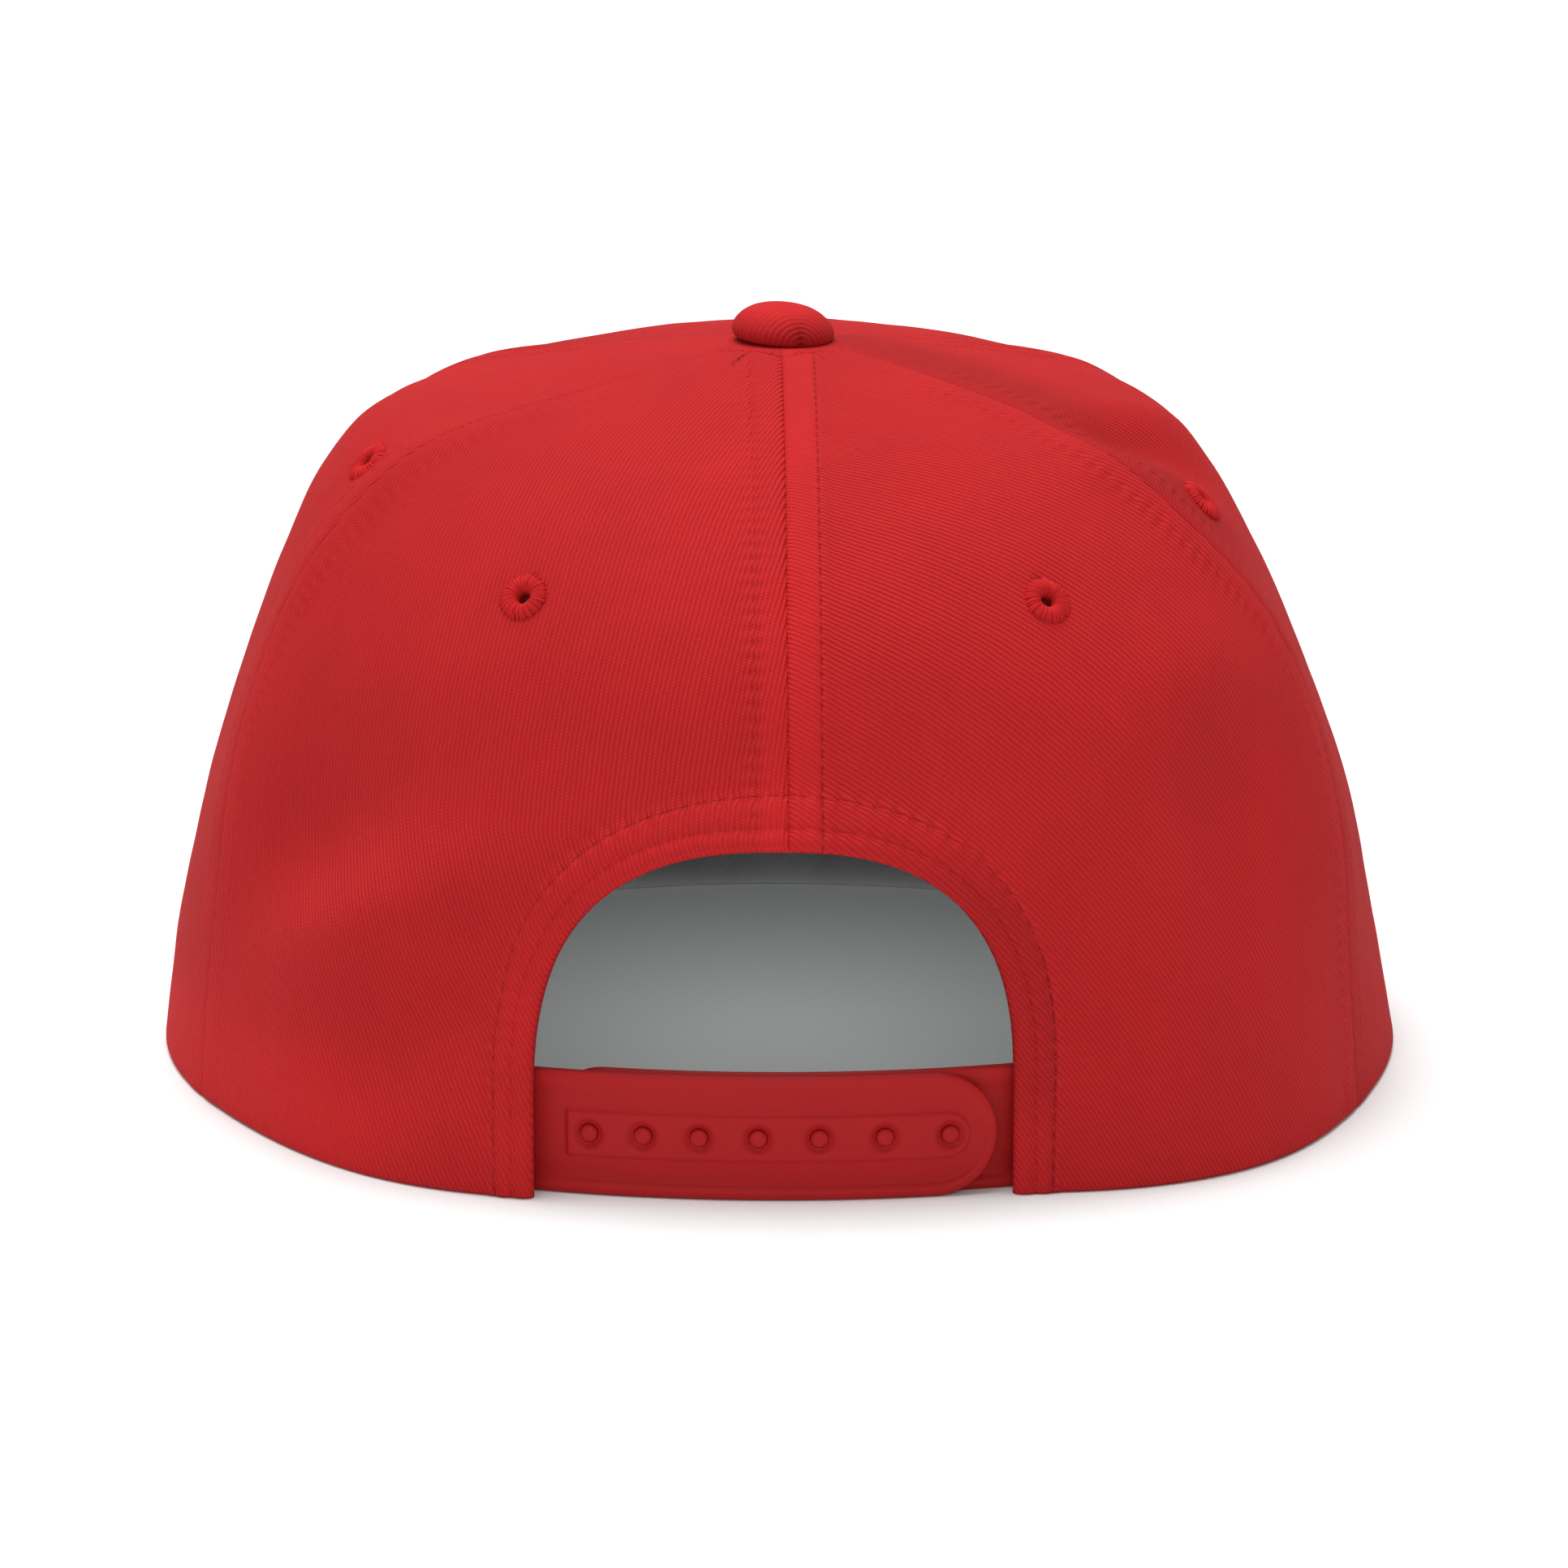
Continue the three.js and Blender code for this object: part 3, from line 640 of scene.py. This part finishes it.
def crossing(points, out, away, within=0.5):
    """Where each grid line first passes from below 0 to above it, as points and normals."""
    path, facing = [], []
    for k in range(len(away)):
        over = np.nonzero((away[k, 1:] > 0) & (away[k, :-1] <= 0))[0]
        if len(over) and over[0] < away.shape[1] * within:
            i = over[0]
            share = away[k, i] / (away[k, i] - away[k, i + 1])
            path.append(points[k, i] + (points[k, i + 1] - points[k, i]) * share)
            facing.append(out[k, i])
    return np.array(path).reshape(-1, 3), np.array(facing).reshape(-1, 3)


def seam_path(azimuth_of):
    t = np.linspace(0, top_ring, 170)
    return skin(azimuth_of(t), t)


def row_beside(seam, pick):
    return dict(path=seam["path"], along=(0, 1), off=(seam_row, seam_row), top=seam["top"], pick=pick)


def front_edge(side):
    return lambda t: np.full(t.shape, float(side * front_seam) % 360)


plain_seam = dict(top=16, sharp=0.3, flat=0, light=0, fold=0, pull=0.3, dash=0)
left_seam = dict(plain_seam, path=seam_path(partial(seam_azimuth, -1)))
# The right seam's fold paints shade on the side panel beside it.
right_seam = dict(plain_seam, path=seam_path(partial(seam_azimuth, 1)), flat=-0.3, fold=0.4, pull=0.6)
front_left_seam = dict(plain_seam, path=seam_path(front_edge(-1)), sharp=0.6, dash=0.5)
front_right_seam = dict(plain_seam, path=seam_path(front_edge(1)), sharp=0.6, dash=0.5)
samples = np.linspace(0, 1, 61)


def straight_ribs(angle):
    return dict(direction=angle, still=0, at=(0, 1), angle=(angle, angle), density=(1, 1))


def whole_panel(name, low_edge, high_edge, low_seam, high_seam, ribs):
    """A gore between two seams: rows up the crown, columns from seam to seam."""
    fine = np.linspace(0, top_ring, 400)
    middle = (low_edge(fine) + high_edge(fine)) / 2
    climb = lengths_along(skin(middle, fine))
    heights = np.concatenate([near_base, np.arange(near_base[-1] + 1.1, climb[-1], 1.1)])
    t = np.interp(heights, climb, fine)
    low, high = low_edge(t)[:, None], high_edge(t)[:, None]
    line_azimuth = low + (high - low) * samples
    line_t = np.repeat(t[:, None], len(samples), 1)
    whole = lengths_along(skin(line_azimuth, line_t))[:, -1]
    share = spread(near_seam, near_seam, whole) / whole[:, None]
    azimuth = low + (high - low) * share
    t = np.repeat(t[:, None], share.shape[1], 1)
    lines = [row_beside(low_seam, lambda g: g), row_beside(high_seam, lambda g: g[:, ::-1])]
    panel = add_panel(name, azimuth, t, [low_seam, high_seam], None, middle[0], ribs, False, lines)


def skin_at(x, z):
    """Azimuth and ring of the back skin's points with these x and z, from a rough first guess."""
    azimuth, t = np.degrees(np.arcsin(x / 90)), z / 170
    for step in range(20):
        here = skin(azimuth, t)
        turn, climb = skin(azimuth + 0.1, t) - here, skin(azimuth, t + 0.001) - here
        determinant = turn[:, 0] * climb[:, 2] - turn[:, 2] * climb[:, 0]
        dx, dz = x - here[:, 0], z - here[:, 2]
        azimuth = azimuth + 0.1 * (dx * climb[:, 2] - dz * climb[:, 0]) / determinant
        t = np.clip(t + 0.001 * (dz * turn[:, 0] - dx * turn[:, 2]) / determinant, 0, 1)
    return azimuth, t


def arch_edge(side):
    """The arch's edge from the middle seam down to the floor, in small steps."""
    middle_x = arch["middle"]
    seam_x = arch_top_reach * math.sin(math.radians(middle_seam))
    start = side * (seam_x - middle_x)
    power = 2 / arch["left_power" if side < 0 else "right_power"]
    start_angle = math.copysign(math.asin((abs(start) / arch["half_width"]) ** (1 / power)), start)
    angle = np.linspace(start_angle, math.pi / 2, 160)
    across = np.sign(angle) * np.abs(np.sin(angle)) ** power
    x = middle_x + side * arch["half_width"] * across
    z = arch["straight"] + arch["rise"] * np.abs(np.cos(angle)) ** power
    down = np.linspace(arch["straight"], 0, 40)[1:]
    x = np.concatenate([x, np.full(len(down), x[-1])])
    azimuth, t = skin_at(x, np.concatenate([z, down]))
    azimuth[0] = middle_seam
    return azimuth, t


def back_panel(name, side, middle_look, far_seam, hem_look, ribs):
    """A back gore: lines fan out from the arch's edge to the side seam."""
    edge_azimuth, edge_t = arch_edge(side)
    edge = skin(edge_azimuth, edge_t)
    edge_length = lengths_along(edge)
    whole = edge_length[-1]
    places = spread(near_seam, near_base, np.array(whole)).ravel()
    edge_disc = to_disc(edge_azimuth, edge_t)
    start = read_along(places, edge_length, edge_disc)

    ring_turn = np.linspace(0, 1, 12)[:-1]
    seam_t = np.linspace(top_ring, 0, 300)
    top_azimuth = seam_azimuth(side, np.array([top_ring]))[0]
    top_turn = middle_seam + ring_turn * (top_azimuth - middle_seam)
    far_azimuth = np.concatenate([top_turn, seam_azimuth(side, seam_t)])
    far_t = np.concatenate([np.full(len(ring_turn), top_ring), seam_t])
    far_length = lengths_along(skin(far_azimuth, far_t))
    far_disc = to_disc(far_azimuth, far_t)
    reach = 1.15 * places + (far_length[-1] - 1.15 * whole) * (places / whole) ** 2
    end = read_along(reach, far_length, far_disc)

    v = np.linspace(0, 1, 90)
    middle_line = start[0] + (end[0] - start[0]) * v[:, None]
    low_azimuth = edge_azimuth[-1] + (seam_azimuth(side, np.array([0.0]))[0] - edge_azimuth[-1]) * v
    base_line = to_disc(low_azimuth, np.zeros(len(v)))
    u = (places / whole)[:, None, None]
    v = v[None, :, None]
    disc = (1 - v) * start[:, None] + v * end[:, None] + (1 - u) * middle_line + u * base_line
    disc = disc - (1 - u) * (1 - v) * start[0] - u * (1 - v) * start[-1]
    disc = disc - (1 - u) * v * end[0] - u * v * end[-1]
    azimuth, t = from_disc(disc)
    whole_line = lengths_along(skin(azimuth, t))[:, -1]
    azimuth, t = from_disc(place_evenly(azimuth, t, spread(near_hem, near_seam, whole_line)))
    t[-1] = 0
    azimuth[0] = middle_seam

    middle_t = np.linspace(edge_t[0], top_ring, 90)
    middle = dict(plain_seam, path=skin(np.full(90, middle_seam), middle_t), top=7, sharp=1, **middle_look)
    hem = dict(path=edge, **hem_look)
    lines = [
        row_beside(middle, lambda g: np.swapaxes(g, 0, 1)),
        row_beside(far_seam, lambda g: g[:, ::-1]),
        dict(path=edge, along=(0, 1), off=(hem_row, hem_row), top=0, pick=lambda g: g),
        dict(path=edge, **hem_outer_row, top=0, pick=lambda g: g),
    ]
    panel = add_panel(name, azimuth, t, [middle, far_seam], hem, 0, ribs, side > 0, lines)


left_ribs = dict(direction=90, still=105, at=(0, 22, 38, 52, 75, 100, 125),
                 angle=(111, 110, 99, 86, 78, 75, 66), density=(0.84, 0.86, 0.93, 1, 1, 1, 1))
right_ribs = dict(direction=-40, still=0, at=(-75, -48, -25, 0, 30, 46, 80),
                  angle=(-16, -27, -36, -45, -54, -57, -58), density=(1.05,) * 7)
back_panel("back_left_panel", -1, dict(light=0.3, pull=0.55, dash=0.1), left_seam,
           dict(flat=0.3, shade=0, low_dash=0.1), left_ribs)
# The right hem is darkened with painted shade.
back_panel("back_right_panel", 1, dict(light=0.1, flat=0.5, pull=0.2, dash=0.8), right_seam,
           dict(flat=0.15, shade=0.3, low_dash=0.5), right_ribs)
whole_panel("side_left_panel", lambda t: front_edge(-1)(t) - 360, partial(seam_azimuth, -1),
            front_left_seam, left_seam, straight_ribs(86))
whole_panel("side_right_panel", partial(seam_azimuth, 1), front_edge(1),
            right_seam, front_right_seam, straight_ribs(92))
whole_panel("front_panel", front_edge(1), front_edge(-1),
            front_right_seam, front_left_seam, straight_ribs(62))


# Stitching
# Rows of red lockstitch, 2.3 mm a stitch, sunk in the cloth beside each seam and round the
# arch. Each stitch is a short piece of two-ply thread of the cloth's own colour.
stitch_length = 1.8
thread_radius = 0.13

thread, thread_shader = new_material("red_thread")
thread_place = add_node(thread, "ShaderNodeTexCoord").outputs["Object"]
twist_inputs = {"Vector": thread_place, "Scale": 700.0, "Distortion": 3.0}
thread_twist = add_node(thread, "ShaderNodeTexWave", twist_inputs).outputs["Fac"]
thread_tone = noise_of(thread, thread_place, 300.0, 2.0)
set_inputs(thread, thread_shader, {
    "Base Color": mix_colours(thread, thread_tone, (0.46, 0.0145, 0.016), (0.62, 0.019, 0.021)),
    "Normal": bump_of(thread, thread_twist, 0.03 * MM),
    "Roughness": 0.8,
    "Specular IOR Level": 0.1,
})


def tubes(paths, facing, radii, sides=6):
    """Round threads along equal numbers of points, with closed ends."""
    along = unit(np.gradient(paths, axis=1))
    across = unit(np.cross(along, facing))
    up = np.cross(across, along)
    angles = np.arange(sides) * 2 * math.pi / sides
    ring = across[:, :, None] * np.cos(angles)[:, None] + up[:, :, None] * np.sin(angles)[:, None]
    points = paths[:, :, None] + ring * np.asarray(radii)[..., None, None]
    count, steps = paths.shape[:2]
    faces = []
    for first in range(0, count * steps * sides, steps * sides):
        for k in range(steps - 1):
            for i in range(sides):
                a, b = first + k * sides + i, first + k * sides + (i + 1) % sides
                faces.append((b, a, a + sides, b + sides))
        faces.append(tuple(first + i for i in range(sides)))
        faces.append(tuple(first + (steps - 1) * sides + i for i in reversed(range(sides))))
    return points.reshape(-1, 3), faces


def stitches(path, facing):
    """Centre lines of the stitches of one row, each dipping into the cloth at its ends."""
    lengths = lengths_along(path)
    starts = np.arange(1.0, lengths[-1] - stitch_length, stitch_pitch)
    places = starts[:, None] + np.linspace(0, stitch_length, 5)
    centre = read_along(places, lengths, path)
    out = unit(read_along(places, lengths, facing))
    lift = np.array([-0.42, -0.28, -0.24, -0.28, -0.42])
    return centre + out * lift[:, None], out


def add_stitches(name, rows):
    made = [stitches(path, facing) for path, facing in rows if len(path) > 5]
    centres = np.concatenate([m[0] for m in made])
    facing = np.concatenate([m[1] for m in made])
    radii = np.full(centres.shape[:2], thread_radius) * np.array([0.7, 1, 1, 1, 0.7])
    points, faces = tubes(centres, facing, radii)
    return add_piece(name, points, faces, [thread])


add_stitches("crown_stitches", stitch_lines)


# Eyelets
# Four vent holes, each bound with a thick ring of satin stitch that runs from inside the
# hole over a cord to the cloth, so it stands about 0.7 mm proud.
threads_round = 60
eyelet_random = np.random.default_rng(7)
upward = np.array([0, 0, 1.0])
thread_profile = np.array([[0.92, -1.6], [1.0, -0.4], [1.35, 0.3], [1.95, 0.55], [2.6, 0.46], [3.2, 0.12],
                           [3.7, -0.4]])
thread_swell = np.array([0.05, 0.06, 0.085, 0.12, 0.16, 0.19, 0.14])
cord_profile = np.array([[1.0, -2.6], [1.05, -0.5], [1.4, 0.22], [1.95, 0.47], [2.6, 0.38], [3.15, 0.04],
                         [3.45, -0.6], [3.3, -2.2], [2.4, -2.9]])


def turn_profile(profile, steps, closed):
    """Points and faces of a profile of radius and height turned round an axis."""
    angles = np.arange(steps) * 2 * math.pi / steps
    rows = len(profile)
    circle = np.stack([np.cos(angles), np.sin(angles)], 1)
    flat = profile[:, 0][:, None, None] * circle
    height = np.broadcast_to(profile[:, 1][:, None, None], (rows, steps, 1))
    faces = []
    for k in range(rows if closed else rows - 1):
        for i in range(steps):
            low, high = k * steps, ((k + 1) % rows) * steps
            faces.append((low + i, low + (i + 1) % steps, high + (i + 1) % steps, high + i))
    return np.concatenate([flat, height], 2).reshape(-1, 3), faces


for eyelet in eyelets:
    out = eyelet["out"]
    right = unit(np.cross(upward, out))
    axes = np.stack([right, np.cross(out, right), out])
    cord_points, cord_faces = turn_profile(cord_profile, 40, True)
    cord_faces = [face[::-1] for face in cord_faces]
    angles = np.arange(threads_round) * 2 * math.pi / threads_round
    angles = angles + eyelet_random.normal(0, 0.02, threads_round)
    long = eyelet_random.normal(1, 0.035, threads_round)
    high = eyelet_random.normal(1, 0.08, threads_round)
    radius = thread_profile[:, 0] * (1 + (long[:, None] - 1) * (thread_profile[:, 0] / 3.65) ** 2)
    skew = angles[:, None] + np.linspace(0, 0.12, len(thread_profile))
    height = thread_profile[:, 1] * np.where(thread_profile[:, 1] > 0, high[:, None], 1)
    paths = np.stack([radius * np.cos(skew), radius * np.sin(skew), height], -1)
    facing = np.broadcast_to(np.array([0.001, 0.002, 1.0]), paths.shape)
    thread_points, thread_faces = tubes(paths, facing, np.broadcast_to(thread_swell, paths.shape[:2]))
    points = np.concatenate([cord_points, thread_points])
    faces = cord_faces + [tuple(i + len(cord_points) for i in face) for face in thread_faces]
    ring = add_piece(eyelet["name"] + "_threads", eyelet["centre"] + points @ axes, faces, [thread])
    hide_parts(eyelet["name"])


# Button
# A metal shell covered in the same twill, which is stretched over its low dome and pulled
# tight under the rim, so that its ribs run in arcs round one gathered spot at the back.
gather_point = np.array([3.0, -7.6, 107.4])
gather_pitch = 0.8
button_tilt = 0.07
button_right = 0.35
button_profile = np.array([[0.02, 113.1], [1.6, 113.06], [3.2, 112.85], [4.7, 112.4], [6.0, 111.65],
                           [6.95, 110.75], [7.5, 109.9], [7.7, 109.1], [7.6, 108.3], [7.2, 107.85],
                           [6.6, 107.7], [5.5, 107.65], [0.02, 107.65]])
button_rows, button_steps = 72, 128
lengths = lengths_along(button_profile)
fine = np.linspace(0, lengths[-1], button_rows)
profile = read_along(fine, lengths, button_profile)
kernel = np.array([1, 2, 3, 2, 1]) / 9
for k in range(2):
    profile[2:-2, k] = np.convolve(profile[:, k], kernel, "same")[2:-2]
points, faces = turn_profile(profile, button_steps, False)
faces = [face[::-1] for face in faces]
angle = np.arctan2(points[:, 1], points[:, 0])
along = np.repeat(fine, button_steps)
from_gather = np.linalg.norm(points - gather_point, axis=1)
ripple = 0.09 * np.cos(from_gather * 2 * math.pi / gather_pitch) * hump(from_gather, 4.5)
pleats = 0.06 * np.sin(angle * 31 + 2 * np.sin(angle * 5)) * ramp(along, 9, 11)
outward = np.stack([np.cos(angle), np.sin(angle), np.full(len(angle), 0.5)], 1)
points = points + outward * ((ripple + pleats) * ramp(along, 2, 5) * (1 - ramp(along, 12, 14)))[:, None]
points[:, 2] -= button_tilt * points[:, 0]
points[:, 0] += button_right
swing = np.arctan2(points[:, 0] - gather_point[0], points[:, 1] - gather_point[1])
button_weave = np.stack([from_gather * rib_pitch / gather_pitch, 7 * swing], 1)
# Painted shade darkens the cover's lower slope and rim.
button = add_piece("button_cover", points, faces, [red_twill], weave=button_weave,
                   marks=dict(pressed=0.75 * ramp(from_gather, 2, 7), shade=0.35 * ramp(along, 4, 8.5)))
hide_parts("button")


# Sweatband
# A band of folded grey cloth sewn inside the base, from one back hem round the front to the
# other. Its ends stand a little further in, where they cover the ends of the strap. Painted
# shade darkens it upward from its lower edge.
band_bottom, band_top, band_thickness, band_end = 0.05, 31, 1.2, 25
band_twill = woven("grey_band_twill", (0.1, 0.1, 0.1), (0.8, 0.8, 0.8), 0.03, 0.6, 0.05)


def wall_at(azimuth, z, inward):
    t = ring_at_height(skin, azimuth, z)
    point = skin(azimuth, t)
    reach = np.hypot(point[..., 0], point[..., 1])
    flat = point[..., :2] * ((reach - inward) / reach)[..., None]
    return np.concatenate([flat, np.broadcast_to(np.asarray(z, float), reach.shape)[..., None]], -1)


azimuth = np.linspace(band_end, 360 - band_end, 260)
wrapped = np.where(azimuth > 180, azimuth - 360, azimuth)
fade = hump(np.abs(wrapped) - band_end, 14)
depth = cloth_thickness + 0.9 + fade * np.where(wrapped > 0, 8, 5.6)
rows = np.concatenate([[band_bottom, 0.2, 0.6, 1.3], np.linspace(2.2, 25.5, 20),
                       [26.4, 27.2, 27.8, 28.2, 28.8, 29.6, 30.3, 30.75, 30.95, band_top]])
wide, high = np.meshgrid(wrapped, rows)
inward = np.broadcast_to(depth, wide.shape)
round_off = 0.1 * np.exp(-(high - band_bottom) / 0.2) + 0.55 * np.exp(-(band_top - high) / 0.35)
fold = 0.25 * ramp(high, 27.9, 28.6)
row = 0.18 * hump(high - 27.9, 0.4)
wave = 0.25 * np.sin(np.radians(wide) * 9 + high / 7)
outer = wall_at(wide, high, inward + round_off)
inner = wall_at(wide, high, inward + band_thickness + fold - row + np.maximum(wave, -0.1) - round_off)
faces = cloth_faces(wide.size, grid_faces(*wide.shape))
round_base = np.broadcast_to(lengths_along(skin(azimuth, np.zeros(len(azimuth)))), wide.shape)
weave = np.stack([high * 0.7 + round_base * 0.7, round_base * 0.7 - high * 0.7], -1).reshape(-1, 2)
points = np.concatenate([outer, inner]).reshape(-1, 3)
# Painted shade, none at the lower edge and growing upward.
shade = np.tile(0.7 * (1 - np.exp(-high.ravel() / 2.3)), 2)
sweatband = add_piece("sweatband_cloth", points, faces, [band_twill],
                      weave=np.tile(weave, (2, 1)),
                      marks=dict(shade=shade, pressed=np.full(len(shade), 1.4)))
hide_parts("sweatband")


# Snap strap
# Two moulded plastic halves. The left one has seven holes in a raised band and lies outside.
# The right one has seven domed pegs that are pressed through them. Both have a soft rim.
strap = dict(bottom=0.1, height=18.1, back=88, bow=125, plate=1.4, rib=0.4, recess=0.5, under=44)
strap_middle = strap["bottom"] + strap["height"] / 2
strap_radius = strap["height"] / 2
holes_tip, pegs_tip = 31.4, -35
raised = dict(half=3.4, left=-31, right=27.4)
peg_places = (-27.7, -19.8, -11.7, -3.2, 5.6, 15.0, 24.5)
neck_radius, hole_radius, peg_radius = 1.15, 1.2, 1.34
dimple_foot, dimple_radius, dimple_depth = 1.4, 2.6, 0.72
pegs_face = strap["plate"] + strap["rib"] + 0.3
rim_crest, rim_foot_above, rim_foot_below = 1.1, 3.9, 2.2

plastic, plastic_shader = new_material("red_plastic")
plastic_place = add_node(plastic, "ShaderNodeTexCoord").outputs["Object"]
plastic_grain = noise_of(plastic, plastic_place, 2600.0, 2.0)
plastic_cloud = noise_of(plastic, plastic_place, 90.0, 2.0)
rough_inputs = {"Value": plastic_cloud, "To Min": 0.42, "To Max": 0.56}
set_inputs(plastic, plastic_shader, {
    "Base Color": mix_colours(plastic, plastic_cloud, (0.38, 0.0095, 0.0105), (0.43, 0.011, 0.012)),
    "Normal": bump_of(plastic, plastic_grain, 0.02 * MM),
    "Roughness": add_node(plastic, "ShaderNodeMapRange", rough_inputs).outputs[0],
    "Specular IOR Level": 0.14,
})


def bowed(x, z, depth):
    angle = x / strap["bow"]
    radius = strap["bow"] - depth
    return np.stack([np.sin(angle) * radius, strap["bow"] - strap["back"] - np.cos(angle) * radius, z], -1)


def strap_half(root, tip, face, with_holes):
    """A strap plate on a fine grid: rim, recessed face, and for the outer one band and holes."""
    way = math.copysign(1, tip - root)
    straight = np.arange(0, abs(tip - root) - strap_radius, 0.3)
    bend = strap_radius * (1 - np.cos(np.linspace(0, math.pi / 2, 44)))[1:]
    lengthwise = root + way * np.concatenate([straight, abs(tip - root) - bend[::-1]])
    lengthwise = root + way * np.unique(np.abs(lengthwise - root))
    share = np.sin(np.linspace(-math.pi / 2, math.pi / 2, 75))
    share = 0.5 * share + 0.5 * np.linspace(-1, 1, 75)
    past = np.clip(strap_radius - np.abs(tip - lengthwise), 0, strap_radius) / strap_radius
    half = strap_radius * np.sqrt(np.maximum(1 - past ** 2, 0.0004))
    x = np.repeat(lengthwise[:, None], len(share), 1)
    z = strap_middle + half[:, None] * share
    from_end = np.maximum(strap_radius - np.abs(tip - x), 0)
    from_edge = strap_radius - np.hypot(from_end, z - strap_middle)
    upper = ramp(z - strap_middle, -2, 6)
    foot = rim_foot_below + (rim_foot_above - rim_foot_below) * upper
    depth = (strap["recess"] + 0.35 * ramp(strap_middle - z, 3, 6.5)) * ramp(from_edge, rim_crest, foot)
    depth = depth + 0.5 * round_edge(from_edge, rim_crest)
    if with_holes:
        over = np.maximum(x - (raised["right"] - raised["half"]), 0)
        into_band = np.minimum(raised["half"] - np.hypot(over, z - strap_middle), x - raised["left"])
        depth = depth * (1 - ramp(into_band, -0.1, 0.35))
        for place in peg_places:
            away = np.hypot(x - place, z - strap_middle)
            depth = depth + dimple_depth * (1 - ramp(away, dimple_foot, dimple_radius))
    back = np.full(x.shape, face + strap["rib"] + strap["plate"])
    back = back - 0.3 * round_edge(from_edge, 0.5)
    quads = grid_faces(*x.shape)
    if way > 0:
        quads = quads[:, ::-1]
    flat = np.stack([x.ravel(), z.ravel()], 1)
    if with_holes:
        for place in peg_places:
            centre = np.array([place, strap_middle])
            away = flat - centre
            gap = np.linalg.norm(away, axis=1)
            inside = gap[quads].mean(1) < hole_radius
            rim = np.intersect1d(quads[inside], quads[~inside])
            flat[rim] = centre + away[rim] * (hole_radius / gap[rim])[:, None]
            quads = quads[~inside]
    front = bowed(flat[:, 0], flat[:, 1], face + depth.ravel())
    rear = bowed(flat[:, 0], flat[:, 1], back.ravel())
    return np.concatenate([front, rear]), cloth_faces(len(flat), quads)


points, faces = strap_half(-strap["under"], holes_tip, 0, True)
outer_strap = add_piece("strap_with_holes", points, faces, [plastic])
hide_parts("snap_strap_holes")

points, faces = strap_half(strap["under"], pegs_tip, pegs_face, False)
faces = [tuple(face) for face in faces]
peg_foot = pegs_face + strap["recess"] + 0.4
peg_profile = np.array([[0.01, -0.12], [0.45, -0.08], [0.8, 0.02], [1.08, 0.16], [1.26, 0.35],
                        [peg_radius, 0.66], [neck_radius, 0.7], [neck_radius, peg_foot], [0.01, peg_foot]])
for place in peg_places:
    spot = np.array(place), np.array(strap_middle)
    middle = bowed(*spot, 0)
    inward = unit(bowed(*spot, 1) - middle)
    right = unit(np.cross(upward, inward))
    peg_points, peg_faces = turn_profile(peg_profile, 28, False)
    shift = len(points)
    points = np.concatenate([points, middle + peg_points @ np.stack([right, upward, inward])])
    faces += [tuple(i + shift for i in face[::-1]) for face in peg_faces]
inner_strap = add_piece("strap_with_pegs", points, faces, [plastic])
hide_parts("snap_strap_pegs")


# Bill
# A stiff flat board covered above and below in twill and sewn through in rows that follow
# its edge. It is joined to the crown's front edge and lies on the floor.
bill = dict(thickness=3.6, end=72, half_width=92, back=50, front=158, power=2.8)
front_share = 0.86
bill_rows_of_stitches = np.arange(6, 48, 7.0)


def bill_edge(share):
    """The outline from the left end to the right: a rounded front with a short side at each end."""
    side, far = np.sign(share), np.abs(share)
    angle = np.clip(far / front_share, 0, 1) * math.pi / 2
    power = 2 / bill["power"]
    x = bill["half_width"] * np.sin(angle) ** power
    y = bill["back"] + (bill["front"] - bill["back"]) * np.cos(angle) ** power
    behind = np.clip((far - front_share) / (1 - front_share), 0, 1)
    return np.stack([side * (x - 1.4 * behind), y - 20 * behind], -1)


share = np.linspace(-1, 1, 321)
azimuth = 180 - share * bill["end"]
start = wall_at(azimuth, np.full(share.shape, 0.01), -0.1)[:, :2]
edge = bill_edge(share)
reach = np.linalg.norm(edge - start, axis=1)
near_edge = np.array([0, 0.06, 0.25, 0.55, 0.95, 1.4, 1.9, 2.6])
near_part = near_edge * np.minimum(reach / 8, 1)[:, None]
near_end = near_part[:, -1:]
off = np.concatenate([near_part, near_end + (reach[:, None] - near_end) * np.linspace(0, 1, 64)[1:]], 1)
place = edge[:, None] + (start - edge)[:, None] * (off / reach[:, None])[..., None]
edge_path = np.concatenate([edge, np.zeros((len(edge), 1))], 1)
flat_points = np.concatenate([place.reshape(-1, 2), np.zeros((off.size, 1))], 1)
from_edge = distance_to(edge_path, flat_points)[0]
half = bill["thickness"] / 2
round_over = half * round_edge(from_edge, half)
grooves = sum(0.14 * hump(from_edge - row, 0.6) for row in bill_rows_of_stitches)
top = flat_points + upward * (bill["thickness"] - round_over - grooves)[:, None]
under = flat_points + upward * (round_over + grooves)[:, None]
faces = cloth_faces(len(top), grid_faces(*off.shape))
turn = math.radians(40)
spin = np.array([[math.cos(turn), math.sin(turn)], [-math.sin(turn), math.cos(turn)]])
bill_weave = flat_points[:, :2] @ spin
cover = add_piece("bill_cover", np.concatenate([top, under]), faces, [red_twill],
                  weave=np.tile(bill_weave, (2, 1)))
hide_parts("bill")

bill_lines = []
near_crown = reach[:, None] - off < 2
for row in bill_rows_of_stitches:
    away = np.where(near_crown, -1, from_edge.reshape(off.shape) - row)
    for surface, facing in ((top, 1.0), (under, -1.0)):
        out = np.broadcast_to(np.array([0, 0.001, facing]), (*off.shape, 3))
        bill_lines.append(crossing(surface.reshape(*off.shape, 3), out, away, within=1))
add_stitches("bill_stitches", bill_lines)
